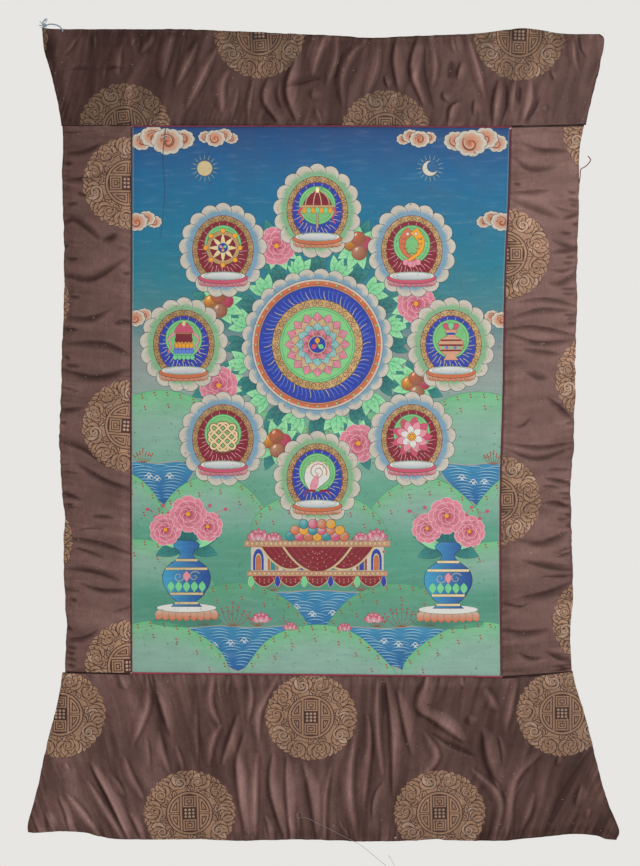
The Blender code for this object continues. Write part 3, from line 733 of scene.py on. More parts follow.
rightPanel = {
    "upper": [(209.2, -103.8), (290.2, -102.2)], "lower": [(199.0, -714.6), (276, -707.6)],
    "left": [(207.2, -187), (204.4, -242), (202.7, -297), (201.0, -407), (198.4, -495), (197.7, -600)],
    "right": [(286, -121), (283.8, -143), (283.8, -187), (281.6, -264), (282.3, -297), (280.5, -330),
    (279.4, -407), (278.3, -451), (275.2, -495), (275, -528), (277.2, -616), (274.2, -665)],
    "pucker": 0.75, "seamed": ["upper", "lower", "left"], "upright": False, "goldPaintedShade": 0.5,
    "lustre": (0.66, 0.44), "streaky": 0.6, "lean": -0.1, "facing": -0.3,
    "folds": [(218, -123, 239, -131, 274, -133, 6, -2.5), (211, -141, 230, -154, 261, -151, 7, -2.5),
    (210, -188, 246, -202, 264, -209, 8, -3.5), (264, -209, 274, -206, 284, -201, 6, -3),
    (251, -246, 265, -244, 283, -242, 6, -3), (249, -278, 263, -278, 282, -266, 7, -3),
    (210, -316, 241, -308, 279, -309, 7, -3), (204, -329, 235, -327, 281, -336, 6, -3),
    (205, -334, 241, -344, 281, -340, 6, -3), (221, -351, 246, -354, 265, -357, 7, -2.5),
    (224, -376, 238, -383, 250, -384, 8, -2.5), (247, -403, 261, -414, 275, -427, 7, -3.5),
    (204, -455, 241, -459, 278, -454, 6, -2.5), (204, -462, 238, -473, 278, -459, 6, -3),
    (244, -493, 263, -496, 276, -500, 6, -3), (242, -521, 258, -520, 275, -526, 7, -3.5),
    (217, -562, 243, -564, 272, -552, 9, -3), (219, -584, 250, -592, 278, -595, 7, -3.5),
    (217, -625, 246, -620, 277, -607, 9, -3), (199, -660, 224, -663, 251, -659, 8, -3),
    (246, -684, 261, -692, 274, -695, 7, -3), (213, -179, 230, -178, 252, -176, 5.7, -2.4),
    (252, -193, 268, -199, 283, -199, 2.8, -1.2), (252, -231, 268, -238, 283, -241, 5.7, -2.4),
    (250, -264, 265, -266, 279, -261, 3.8, -1.6), (213, -300, 246, -296, 283, -304, 5.7, -2.4),
    (212, -438, 222, -436, 231, -426, 3.8, -1.6), (246, -484, 260, -484, 274, -484, 2.8, -1.2),
    (241, -503, 252, -503, 263, -504, 3.8, -1.6), (257, -575, 268, -571, 277, -569, 2.8, -1.2),
    (257, -581, 266, -578, 274, -574, 2.8, -1.2), (241, -601, 257, -602, 276, -600, 3.8, -1.6),
    (199, -630, 219, -634, 230, -629, 3.8, -1.6), (217, -685, 230, -691, 244, -690, 5.7, -2.4),
    (257, -701, 267, -700, 277, -698, 2.8, -1.2)],
    "nicks": [(270, -177, 282, -179), (211, -169, 221, -170), (270, -186, 284, -187),
    (273, -192, 283, -192), (275, -214, 284, -212), (262, -222, 276, -224), (268, -250, 281, -249),
    (265, -256, 279, -255), (262, -285, 282, -284), (264, -290, 280, -290), (266, -313, 282, -314),
    (268, -318, 282, -317), (270, -323, 281, -322), (268, -433, 279, -430), (260, -509, 277, -510),
    (264, -515, 276, -514), (266, -532, 277, -534), (258, -538, 272, -538), (268, -545, 277, -544),
    (258, -704, 275, -702)],
    "medallions": [(201.3, -246.4, 1.57, 1.0), (191.4, -517.0, 1.62, 1.0), (316.8, -112.2, 1.57, 1.0),
    (308.0, -383.9, 1.57, 1.0), (304.7, -650.1, 1.57, 1.0)],
    "seamShadows": [(210, -106.2, 290, -104.8, 2.8, 2.2), (200, -711.8, 219, -710.6, 2.4, 2.2),
    (219, -710.6, 241, -708.9, 2.2, 1.8), (241, -708.9, 275, -705.6, 1.8, 1.2)],
}

bottomPanel = {
    "upper": [(-284.4, -706.6), (-243, -707.8), (-208.6, -707.8), (-23, -709.7), (198.6, -712.1),
    (230, -710.6), (252, -708.2), (276.8, -705.2)],
    "lower": [(-322.5, -882.5), (-313, -883.3), (-287, -881.6), (-261, -882.8), (-243, -887.2),
    (-217, -890.4), (-133, -890.4), (-93, -892), (-23, -890.5), (43, -892.6), (98, -892), (127, -889.8),
    (142, -891.5), (197, -892), (215, -890.5), (250, -887.2), (276, -884.6), (302, -886.1), (313, -889.9),
    (325, -891)],
    "left": [(-289.3, -737), (-300.3, -781), (-310.2, -825), (-316, -850), (-322.4, -872)],
    "right": [(281.5, -726), (291.5, -757), (300.9, -796), (305.8, -816), (315.5, -849), (327.8, -879)],
    "pucker": 0.35, "seamed": ["upper"], "upright": True, "goldPaintedShade": 0.28, "lustre": (0.45, 0.06),
    "streaky": 1.0, "lean": 0.0, "flare": 0.0016, "flareFrom": -710, "facing": -0.7,
    "folds": [(-192, -713, -191, -743, -209, -790, 10, 5), (-183, -711, -174, -743, -165, -777, 10, 5),
    (-179, -772, -174, -797, -167, -817, 9, 4), (-255, -804, -234, -841, -211, -890, 9, 5),
    (-259, -823, -240, -854, -220, -887, 8, 4), (-217, -799, -210, -820, -195, -847, 9, 4),
    (-281, -839, -263, -860, -245, -886, 9, 4), (-303, -860, -298, -871, -297, -881, 8, 3),
    (-120, -715, -122, -742, -112, -765, 10, 5), (-110, -764, -120, -783, -124, -811, 10, 5),
    (-92, -753, -99, -779, -110, -810, 9, 4), (-84, -772, -92, -812, -82, -889, 9, 4),
    (-79, -715, -77, -737, -81, -762, 8, 4), (-51, -717, -68, -750, -69, -784, 9, 4),
    (-70, -794, -73, -831, -73, -889, 10, 5), (-53, -794, -55, -831, -41, -887, 9, 5),
    (-38, -796, -37, -836, -33, -889, 8, 5), (-20, -805, -10, -842, -4, -889, 11, 5),
    (11, -808, 4, -847, 4, -889, 8, 5), (37, -775, 31, -831, 38, -889, 12, 6),
    (50, -750, 53, -781, 46, -860, 9, 4), (62, -715, 62, -770, 68, -823, 9, 5),
    (72, -717, 79, -775, 79, -845, 9, 5), (84, -726, 92, -761, 100, -799, 9, 3.5),
    (117, -712, 107, -743, 120, -757, 13, 6), (111, -750, 136, -765, 158, -783, 12, 6),
    (113, -772, 127, -799, 109, -824, 10, 4), (179, -724, 186, -735, 194, -749, 12, 4),
    (178, -768, 183, -794, 194, -832, 14, 6), (164, -812, 196, -845, 190, -889, 10, 5),
    (214, -717, 206, -753, 202, -774, 11, 4), (242, -795, 212, -827, 204, -889, 11, 5),
    (234, -839, 228, -860, 219, -881, 9, 3.5), (287, -830, 283, -843, 280, -854, 9, 3),
    (120, -773, 144, -789, 170, -800, 7, -3), (296, -792, 268, -836, 247, -881, 7, -3),
    (-219, -715, -217, -721, -215, -726, 7.6, 2.6), (-282, -805, -279, -810, -277, -814, 5.7, 2.4),
    (-231, -820, -223, -831, -216, -844, 7.6, 2.6), (-212, -860, -205, -871, -198, -889, 5.7, 2.4),
    (-289, -842, -280, -860, -276, -881, 6.6, 2.6), (-160, -787, -154, -805, -152, -816, 6.6, 2.6),
    (-138, -737, -138, -770, -136, -809, 7.6, 1.6), (-113, -715, -112, -728, -109, -739, 3.8, 1.6),
    (-102, -715, -103, -723, -103, -732, 5.7, 2.4), (-193, -776, -191, -792, -189, -814, 6.6, 1.6),
    (-62, -864, -58, -875, -56, -889, 4.8, 2), (-26, -858, -25, -869, -24, -880, 4.8, 2),
    (19, -869, 25, -879, 32, -889, 3.8, 1.6), (26, -866, 32, -876, 34, -889, 2.8, 1.2),
    (69, -825, 59, -844, 56, -869, 4.8, 2), (155, -715, 156, -719, 156, -724, 5.7, 2.4),
    (164, -754, 164, -759, 165, -765, 9.5, 1.6), (186, -820, 194, -831, 197, -842, 5.7, 2.4),
    (195, -776, 199, -792, 200, -809, 4.8, 2), (223, -825, 211, -847, 209, -889, 5.7, 2.4),
    (263, -798, 261, -803, 258, -809, 5.7, 2.4), (296, -856, 294, -861, 292, -867, 5.7, 2.4),
    (67, -713, 67, -737, 68, -759, 4.8, -2), (-254, -809, -238, -838, -217, -882, 5.7, -2.4),
    (296, -792, 268, -836, 248, -880, 5.7, -2.4)],
    "medallions": [(-287.1, -752.4, 0.0, 0.95), (-11.0, -755.7, 0.0, 0.94), (265.1, -751.3, 0.0, 0.94),
    (-144.5, -861.3, 0.03, 0.94), (130.4, -861.3, 0.02, 0.94)],
    "seamShadows": [(-284, -706.9, -209, -708.6, 1.8, 1.3), (199, -712.4, 230, -710.6, 3.0, 2.6),
    (230, -710.6, 276, -705.6, 2.6, 1.4)],
}


# The woven medallion: a ring of scroll leaves round a roundel of key fret. Gold and gaps are
# drawn in turn, in its own millimetres

medallionDesign = {
    "seed": 5, "ground": 48.0, "lobe": 0.2, "ringGap": 26.0, "roundel": 24.9, "roundelInner": 22.6,
    "sectors": 10, "edge": 0.9, "leafWidth": 6.2, "tries": 200, "spread": 3.4, "bar": 2.1, "barPlace": 9.2,
    "quarterInset": 1.9, "dot": 1.5,
}


def rectangle(lowX, lowZ, highX, highZ):
    return np.array([(lowX, lowZ), (highX, lowZ), (highX, highZ), (lowX, highZ)], float)


def quarterShape(lowX, lowZ, radius, sideX, sideZ):
    # the part of a disc beyond an upright and a level line
    start, end = math.asin(min(1, lowZ / radius)), math.acos(min(1, lowX / radius))
    arc = polar(0, 0, radius, radius, np.linspace(start, end, 9))
    return np.vstack([[(lowX, lowZ)], arc]) * (sideX, sideZ)


def medallionShapes():
    # list of outline and tone
    rule = medallionDesign
    luck = random.Random(rule["seed"])
    shapes, taken = [], []

    def gold(points, tone="gold"):
        shapes.append((np.array(points, float), tone))

    def gap(points):
        gold(points, "gap")

    def leaf(line, width, fullness=0.7):
        # a bent leaf with a dark outline and a vein
        line = np.array(line)
        shape = spindle(line, width, fullness)
        gap(swell(shape, rule["edge"]))
        gold(shape, "glint" if luck.random() < 0.14 else "gold")
        gap(spindle(line[1:-1], 0.9, 0.5))
        taken.extend(line[1:-1])

    def fan(x, z, angle, reach, count, spread):
        # fingers of a comb leaf, the outer ones first
        for index in sorted(range(count), key=lambda place: -abs(place - (count - 1) / 2)):
            turn = angle + (index - (count - 1) / 2) * spread
            length = reach * (1 - 0.09 * abs(index - (count - 1) / 2)) * luck.uniform(0.92, 1.08)
            bend = 0.16 * (index - (count - 1) / 2) + 0.06
            leaf(spoke(x, z, turn, 0, length, bend, 7), rule["leafWidth"] * reach / 12)

    angle, rim = 0.0, []
    while angle < fullTurn - rule["lobe"] / 2:  # uneven lobes round the rim
        wide = min(luck.uniform(0.6, 1.4) * rule["lobe"], fullTurn - angle)
        for part in (0.0, 0.2, 0.5, 0.8):
            reach = rule["ground"] + luck.uniform(-0.5, 0.5) + 2.6 * math.sin(math.pi * part)
            rim.append(toward(0, 0, angle + part * wide, reach))
        angle += wide
    gold(rim)
    for index in range(rule["sectors"]):
        middle = (index + luck.uniform(-0.12, 0.12)) / rule["sectors"] * fullTurn
        way = 1 if index % 2 else -1
        for radius, shift, turn, reach, count in ((37, 0.5, 0.5, 14.5, 3), (31, 0.5, 2.3, 9, 2),
                (33, -0.04, 0.1, 17, 4)):
            angle = middle + shift / rule["sectors"] * fullTurn
            fan(*toward(0, 0, angle, radius), angle + way * turn, reach, count, 0.46)
        x, z = toward(0, 0, middle, 37)
        curl = spiral(x, z, 6.6, 1.6, middle + 2.6, way * 1.3)  # a scroll at each fan's root
        for width, tone in ((3.5, "gap"), (2.2, "gold" if index % 3 else "glint")):
            gold(stroke(curl, width, width * 0.75), tone)
        taken.extend(curl)
        gold(roundShape(x, z, 1.5, count=9))
    for _ in range(rule["tries"]):  # small leaves in what is left
        angle, radius = luck.uniform(0, fullTurn), luck.uniform(28, 48.5)
        x, z = toward(0, 0, angle, radius)
        if min(math.hypot(x - a, z - b) for a, b in taken) < rule["spread"]:
            continue
        lean, reach = angle + luck.uniform(0.7, 2.4), luck.uniform(2.6, 4.0)
        leaf(spoke(x, z, lean, -reach, reach, luck.choice((-0.25, 0.25)), 6), 3.0)
    gap(roundShape(0, 0, rule["ringGap"], count=48))
    gold(roundShape(0, 0, rule["roundel"], count=44))
    gap(roundShape(0, 0, rule["roundelInner"], count=40))
    bar, post, inset = rule["bar"], rule["barPlace"], rule["quarterInset"]
    for side in (-1, 1):
        reach = math.sqrt(rule["roundelInner"] ** 2 - post ** 2)
        gold(rectangle(side * post - bar / 2, -reach, side * post + bar / 2, reach))
        for rise in (-1, 1):
            low = post + bar / 2 + 1.0
            for depth, isGold in ((0.0, True), (1.9, False), (3.0, True), (5.0, False)):
                points = quarterShape(low + depth, inset - 0.4 + depth, 21.4 - depth, side, rise)
                gold(points, "gold" if isGold else "gap")
            for half, low, high, isGold in ((7.1, 7.2, 20.2, True), (5.5, 8.8, 18.6, False),
                    (4.5, 9.8, 17.6, True), (2.9, 11.4, 16.0, False), (1.8, 12.4, 15.0, True),
                    (0.5, 9.4, 12.6, False)):
                frame = rectangle(-half, min(rise * low, rise * high), half, max(rise * low, rise * high))
                gold(frame, "gold" if isGold else "gap")
        gold(rectangle(min(side * (post + 2), side * 22.6), -0.7, max(side * (post + 2), side * 22.6), 0.7))
    for column in (-1, 0, 1):
        for row in (-1, 0, 1):
            gold(roundShape(column * 4.2, row * 3.9, rule["dot"], count=9), "glint")
    return shapes


def panelOutline(panel):
    # once round, counter-clockwise as the camera sees it, with the seamed and the free edges apart
    corners = {"left": (panel["upper"][0], panel["lower"][0]),
        "right": (panel["upper"][-1], panel["lower"][-1])}
    lines = {side: smoothLine(panel[side], brocade["edgeStep"]) for side in ("upper", "lower")}
    for side in ("left", "right"):
        start, end = corners[side]
        lines[side] = smoothLine([start] + panel[side] + [end], brocade["edgeStep"])
    for side, line in lines.items():  # puckers along the free edges, none at their ends
        if side not in panel["seamed"]:
            ease = np.sin(np.pi * np.linspace(0, 1, len(line))) ** 0.4
            pucker = softNoise(line[:, 0] / 8, line[:, 1] / 8, 31) + 0.6 * softNoise(line[:, 0] / 3.6,
                line[:, 1] / 3.6, 32)
            line[:, 0 if side in ("left", "right") else 1] += panel["pucker"] * pucker * ease
    ring = np.vstack([lines["lower"][:-1], lines["right"][::-1][:-1], lines["upper"][::-1][:-1],
        lines["left"][:-1]])
    return ring, lines


def foldTable(panel, ring):
    # each fold's line, sharp side, reach and rise. A fold that starts at a seam or hem runs off it
    closed = np.vstack([ring, ring[:1]])
    table = []
    for startX, startZ, endX, endZ in panel.get("nicks", []):
        line = smoothLine([(startX, startZ), ((startX + endX) / 2, (startZ + endZ) / 2), (endX, endZ)], 5.0)
        table.append((line, 1, brocade["nickReach"], brocade["nickRise"]))
    for startX, startZ, bendX, bendZ, endX, endZ, reach, rise in panel["folds"]:
        path = smoothLine([(startX, startZ), (bendX, bendZ), (endX, endZ)], 5.0)
        toEdge = lineDistance(path[[0, -1], 0], path[[0, -1], 1], closed)[0]
        if toEdge[0] < brocade["runOff"]:
            path = np.vstack([path[0] + (path[0] - path[1]) * 3, path])
        if toEdge[1] < brocade["runOff"]:
            path = np.vstack([path, path[-1] + (path[-1] - path[-2]) * 3])
        table.append((path, dice.choice((-1, 1, 1)), reach, rise))
    return table


def foldSurface(panel, ring, lines, table):
    # how far the wall side of the cloth stands off the wall, from the panel's folds, and the satin's
    # painted sheen and shade from the same folds
    closed = np.vstack([ring[::4], ring[:1]])
    free = [lines[side][::3] for side in ("upper", "lower", "left", "right") if side not in panel["seamed"]]
    seed = dice.randrange(1000)

    def relief(x, z):
        distance = lineDistance(x, z, closed)[0]
        ease = np.minimum(1, distance / brocade["edgeReach"])
        ease = ease * ease * (3 - 2 * ease)
        base = brocade["edgeStandoff"] + (brocade["standoff"] - brocade["edgeStandoff"]) * ease
        if not panel["upright"]:  # the side panels' ends lie behind the long panels
            tucked = np.minimum(lineDistance(x, z, lines["upper"])[0],
                lineDistance(x, z, lines["lower"])[0])
            base = base - brocade["edgeStandoff"] * np.clip(1 - tucked / 5, 0, 1)
        ridge, dip, glow, shadow, hollow = np.zeros((5, len(x)))
        for path, sharpSide, reach, rise in table:
            low, high = path.min(axis=0) - reach * 1.6, path.max(axis=0) + reach * 1.6
            near = np.nonzero((x > low[0]) & (x < high[0]) & (z > low[1]) & (z < high[1]))[0]
            if not len(near):
                continue
            away, part, side = lineDistance(x[near], z[near], path)
            fade = np.sin(np.pi * part) ** brocade["taper"]
            sharp = side == sharpSide
            width = reach * (0.3 + 0.7 * fade) * np.where(sharp, brocade["sharpShare"],
                brocade["softShare"])
            height = (0.5 + 0.5 * np.cos(np.pi * np.minimum(1, away / width))) * abs(rise) * fade
            if rise > 0:
                ridge[near] = (ridge[near] ** 3 + height ** 3) ** (1 / 3)
                # a painted highlight along the fold's crest
                crest = brocade["crestShare"] * np.exp(-(away / (width * brocade["crestWide"])) ** 2)
                shine = (1
                    - brocade["crestShare"] / 2) * np.exp(-(away / (width * brocade["glowWide"])) ** 2)
                shine = np.minimum(1, shine + crest) * fade * min(1, abs(rise) / 4)
                glow[near] = 1 - (1 - glow[near]) * (1 - shine)
                # painted shadow beyond the fold's sharp side
                fall = np.exp(-((away - width) / (reach * brocade["shadowWide"])) ** 2) * fade * sharp
                shadow[near] = np.maximum(shadow[near], fall)
            else:
                dip[near] = (dip[near] ** 3 + height ** 3) ** (1 / 3)
                # painted shade in the dip, and a painted highlight beside it on its soft side
                wide = width * brocade["dipWide"]
                fall = np.exp(-(away / wide) ** 2) * fade * min(1, abs(rise) / 1.8)
                hollow[near] = np.maximum(hollow[near], fall)
                glow[near] += brocade["dipGlow"] * np.exp(-((away - width) / wide) ** 2) * fade * ~sharp
        across, along = (x - panel["lean"] * z, z) if panel["upright"] else (z + panel["lean"] * x, x)
        across = across * (1 + panel["flare"] * (panel["flareFrom"] - z)) if panel["upright"] else across
        across = across + 5 * softNoise(x / 34, z / 34, seed + 5)
        streak = 0.7 * softNoise(across / 7.5, along / 46, seed) + 0.3 * softNoise(across / 3.6, along / 24,
            seed + 1)
        streak += 0.6 * softNoise(across / 15, along / 70, seed + 2)
        pleat = softNoise(across / brocade["pleatWide"], along / 22,
            seed + 4) * np.exp(-distance / brocade["pleatReach"])
        hem = np.zeros(len(x))
        for line in free:
            fromEdge = lineDistance(x, z, line)[0]
            hem = np.maximum(hem, 0.5 + 0.5 * np.tanh((brocade["hemWidth"] - fromEdge) * 1.6))
        share = brocade["edgeShare"] + (1 - brocade["edgeShare"]) * ease
        return base, ridge, dip, glow, shadow, hollow, streak, pleat, hem, share

    def depthAt(x, z):
        base, ridge, dip, glow, shadow, hollow, streak, pleat, hem, share = relief(x, z)
        lift = ridge - dip * brocade["dipShare"] + streak * brocade["wrinkle"] + pleat * brocade["pleat"]
        return np.maximum(0, base + lift * share + hem * brocade["hemRise"])

    def sheenAt(x, z, slopeX, slopeZ):
        # the satin's lustre as painted light in its colour: pale painted highlights on crests, dark painted
        # shade in hollows and beside sharp folds, and painted sheen streaked along the folds and mottled
        base, ridge, dip, glow, shadow, hollow, streak, pleat, hem, share = relief(x, z)
        # a painted fall of light from one end of the panel to the other
        first, last = panel["lustre"]
        level = (x + 300) / 600 if panel["upright"] else (-106 - z) / 602
        sheen = first + (last - first) * np.clip(level, 0, 1) + brocade["glowSheen"] * glow
        sheen -= brocade["shadowSheen"] * shadow + brocade["dipSheen"] * hollow
        sheen += (brocade["streakSheen"] * streak + brocade["pleatSheen"] * pleat) * panel["streaky"]
        sheen += brocade["cloudSheen"] * softNoise(x / 46, z / 46, seed + 3)
        mottle = softNoise(x / 5.5, z / 5.5, seed + 6) + 0.7 * softNoise(x / 2.6, z / 2.6, seed + 7)
        sheen += brocade["mottleSheen"] * mottle
        # slopes that face one way painted lighter and the other way darker, as if lit from one side
        sheen += brocade["sideSheen"] * np.clip(slopeX * panel["facing"] - slopeZ * 0.4, -0.5, 0.5)
        return np.clip(sheen, *brocade["sheenRange"])
    return depthAt, sheenAt


medallionParts = medallionShapes()


def buildPanel(name, nodeName, panel):
    ring, lines = panelOutline(panel)
    layers = []
    table = foldTable(panel, ring)
    for x, z, turn, squash in panel["medallions"]:
        for points, tone in medallionParts:
            layers.append((placed(points, x, z, 1.0, turn, squash), brocade[tone], 1.0,
                0.02 if tone == "gap" else 1.0))
    # painted shadow along the seams, kept dark like the gaps
    for startX, startZ, endX, endZ, startWidth, endWidth in panel["seamShadows"]:
        line = [(startX + (endX - startX) * part, startZ + (endZ - startZ) * part)
            for part in (0, 0.25, 0.5, 0.75, 1)]
        layers.append((stroke(line, startWidth, endWidth), brocade["seamShade"], 0.9, 0.02))
    near = []
    for layer in layers:  # leave out what lies wholly off the panel
        low, high = layer[0].min(axis=0), layer[0].max(axis=0)
        if np.all(high > ring.min(axis=0)) and np.all(low < ring.max(axis=0)):
            near.append(layer)
    depthAt, sheenAt = foldSurface(panel, ring, lines, table)
    setting = {**brocade, "goldPaintedShade": panel["goldPaintedShade"]}
    piece = clothSheet(name, ring, near, brocade["satin"], depthAt, setting,
        (brocadeMaterial, brocadeReverse), sheenAt)
    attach(piece, "root")
    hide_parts(nodeName)
    return depthAt


topDepth = buildPanel("brocadeTop", "brocade_top", topPanel)
leftDepth = buildPanel("brocadeLeft", "brocade_left", leftPanel)
rightDepth = buildPanel("brocadeRight", "brocade_right", rightPanel)
bottomDepth = buildPanel("brocadeBottom", "brocade_bottom", bottomPanel)

# The painting. Its picture is a generic one: a lotus mandala in a ring of eight common lucky signs,
# over hills, ponds and vases of flowers, with no figure in it

hue = {
    "ink": (38, 42, 62), "cobalt": (32, 58, 160), "cobaltLight": (96, 124, 206), "halo": (122, 196, 124),
    "haloLine": (52, 116, 84), "cream": (196, 190, 176), "white": (214, 214, 208), "orange": (198, 104, 66),
    "tan": (186, 136, 108), "gold": (156, 126, 84), "goldDark": (92, 60, 38), "goldPale": (196, 178, 134),
    "pink": (196, 78, 106), "pinkPale": (218, 142, 156), "rose": (158, 40, 70), "red": (124, 22, 38),
    "redLight": (168, 50, 58), "leaf": (112, 202, 140), "leafDark": (20, 98, 98), "leafLine": (40, 120, 96),
    "yellow": (226, 154, 34), "pond": (54, 134, 172), "pondDeep": (26, 92, 150),
    "pondPale": (156, 198, 206), "teal": (46, 132, 140), "brown": (132, 74, 48), "dot": (168, 52, 38),
    "mist": (150, 196, 190), "cloudBlue": (112, 152, 176), "cloudGreen": (122, 172, 128),
    "shore": (176, 150, 134), "grass": (106, 186, 126), "slope": (136, 172, 156), "brush": (58, 122, 98),
    "moss": (88, 160, 118), "shade": (90, 146, 128),
}

picture = {
    "thick": 1.2, "grid": 7.5, "backGrid": 15.0, "backTint": (150, 138, 116), "rimRound": 0.2,
    "normalShare": 1.0, "cockle": 0.5, "columns": 10, "rows": 14, "inset": 0.3, "middle": (-4.0, -346.0),
    "ringRadius": 147.0, "signRadius": 45.0, "mandala": 80.0,
    "skyHeights": [-712, -640, -560, -440, -392, -352, -318, -270, -215, -160, -128, -107],
    "skyTones": [(138, 172, 160), (74, 142, 120), (86, 152, 128), (104, 164, 140), (140, 156, 150),
    (132, 142, 140), (76, 128, 134), (32, 120, 138), (8, 110, 144), (8, 98, 144), (14, 80, 132),
    (16, 66, 120)],
    # painted in turn: hills by the x and z of the crest, half width and height; ponds by the x and z
    # of the shore's middle, width and depth
    "land": [("hill", -176, -396, 100, 96), ("hill", 172, -398, 100, 96), ("hill", -64, -420, 86, 80),
    ("hill", 58, -421, 86, 80), ("pond", -176, -476, 84, 44), ("pond", 170, -478, 84, 44),
    ("hill", -222, -486, 52, 60), ("hill", -118, -490, 70, 70), ("hill", 218, -488, 54, 60),
    ("hill", 112, -492, 70, 70), ("hill", -4, -506, 80, 50), ("hill", -205, -560, 90, 60),
    ("hill", 199, -562, 90, 60), ("pond", -4, -618, 150, 50), ("slope", -92, -608, 96, 84),
    ("slope", 84, -609, 96, 84), ("pond", -97, -657, 128, 46), ("pond", 89, -658, 128, 46),
    ("hill", -184, -650, 90, 70), ("hill", -4, -654, 88, 66), ("hill", 176, -651, 90, 70)],
    "sunAndMoon": [(-128, "goldPale"), (120, "cream")], "sunHeight": -152, "altar": (-566, 146),
    "vases": [(-148, -646, 86, 1), (140, -648, 86, -1)],
    "lotuses": [(-66, -652, 12), (-34, -660, 9), (26, -661, 9), (58, -652, 12)],
    "crease": [(-171, -107), (-174, -140), (-172, -180), (-177, -230)],
    "hillTones": {"hill": ("grass", "slope"), "slope": ("moss", "shade")},
    # x, z, size and way of each cloud bank
    "clouds": [(-176, -124, 16, -1), (172, -126, 16, 1), (-112, -120, 10, 1), (104, -121, 10, -1),
    (-198, -212, 11, 1), (194, -212, 11, -1), (-200, -318, 10, 1), (194, -320, 10, -1)],
    "grass": [(-128, -655, 15), (-97, -656, 25), (-70, -656, 13), (62, -657, 13), (89, -657, 25),
    (120, -656, 15), (-196, -476, 14), (190, -478, 14), (-52, -617, 13), (44, -617, 13)],
}


def radial(x, z, radius, count, shift=0.0, share=1.0):
    # places round a centre, each with its angle
    for index in range(count):
        angle = (index + shift) / count * fullTurn
        yield *toward(x, z, angle, radius, share), angle


def outerFirst(count):
    # the order in which a fan is painted, its middle last, with each place from -1 to 1
    half = (count - 1) / 2
    return [(index - half) / half for index in sorted(range(count), key=lambda place: -abs(place - half))]


def scroll(x, z, size, angle, way, colour, width=0.8, turns=1.2):
    lay(stroke(spiral(x, z, size, size * 0.15, angle, way * turns), width, width * 0.6), colour)


def cloudBank(x, z, size, way):
    # puffs with orange-brown scrolls
    for shiftX, shiftZ, share in ((-1.5, 0.25, 0.72), (1.35, 0.1, 0.66), (0.55, 0.45, 0.8),
            (-0.45, 0.1, 1.0)):
        cx, cz, radius = x + way * shiftX * size, z + shiftZ * size, size * share
        turn = dice.uniform(0, 1)
        lay(scallop(cx, cz, radius, radius * 0.82, 9, 0.13, turn), "cream", "ink", 0.5)
        lay(scallop(cx, cz, radius * 0.78, radius * 0.64, 9, 0.12, turn),
            rounded("orange", "cream", cx, cz, radius * 1.05))
        for part in (0.0, 0.35, 0.7):
            scroll(cx, cz - radius * 0.05, radius * (0.62 - 0.22 * part), 2.4 + part, way, "brown",
                radius * 0.07, 1.15)
        scroll(cx, cz, radius * 0.5, 2.7, way, "cream", radius * 0.05, 0.7)


def leafAt(x, z, angle, length, dark):
    body, line, pale = (("leafDark", (10, 62, 70), (52, 136, 130)) if dark
        else ("leaf", "leafLine", (160, 222, 168)))
    endX, endZ = toward(x, z, angle, length)
    lay(petal(x, z, angle, length, length * 0.46, 0.8, 0.9), graded(body, pale, (x, z), (endX, endZ)), line,
        0.4)
    lay(stroke(bow(x, z, x + (endX - x) * 0.85, z + (endZ - z) * 0.85, 0.05, 4), 0.5, 0.2), line)
    for part in (0.3, 0.55):
        rootX, rootZ = x + (endX - x) * part, z + (endZ - z) * part
        for tip in (angle - 0.8, angle + 0.8):
            lay(stroke(spoke(rootX, rootZ, tip, 0, length * 0.19, 0.1, 3), 0.35, 0.2), line)


def leafSpray(x, z, angle, length, dark=False):
    for place in outerFirst(3):
        leafAt(x, z, angle + place * 0.62, length * (1 - 0.08 * abs(place)), dark)


def peony(x, z, radius, turn=0.0):
    for ring, (reach, count, size) in enumerate(((0.62, 8, 0.62), (0.42, 7, 0.52), (0.2, 5, 0.42))):
        for cx, cz, angle in radial(x, z, reach * radius, count, (turn + ring * 0.4) / fullTurn * count):
            lay(scallop(cx, cz, size * radius * 0.6, size * radius * 0.6, 5, 0.12, angle),
                rounded("rose" if ring else "pink", "pinkPale", x, z, radius * (1.15 - 0.3 * ring)),
                (240, 196, 200), 0.35)
            if ring < 2:
                line = spoke(x, z, angle, (reach - 0.15) * radius, (reach + 0.25) * radius, 0.1, 4)
                lay(stroke(line, 0.5, 0.2), "rose")
    lay(roundShape(x, z, radius * 0.13, count=10), "yellow", "red", 0.3)


def fruit(x, z, radius, colour, tip):
    shine = rounded(colour, tip, x - radius * 0.4, z + radius * 0.4, radius * 1.6)
    lay(roundShape(x, z, radius, radius * 0.94, 16), shine, "brown", 0.4)
    lay(petal(x - radius * 0.55, z + radius * 0.3, 0.9, radius * 0.6, radius * 0.3), (250, 226, 190),
        cover=0.7)
    lay(stroke(bow(x, z - radius * 0.9, x + radius * 0.2, z + radius * 0.3, 0.2, 5), 0.4, 0.2), "brown")


def lotusBloom(x, z, size):
    # seen from the side: back petals, then front ones over them
    for count, spread, length, width, tone in ((5, 1.15, 1.0, 0.42, "pink"),
            (4, 0.8, 0.88, 0.44, "pinkPale"), (3, 0.42, 0.7, 0.46, "pink")):
        for place in outerFirst(count):
            angle = math.pi / 2 + place * spread
            tip = toward(x, z, angle, size * length)
            lay(petal(x, z, angle, size * length, size * width, 1.25, 0.8),
                graded("white", tone, (x, z), tip), "red", 0.35)


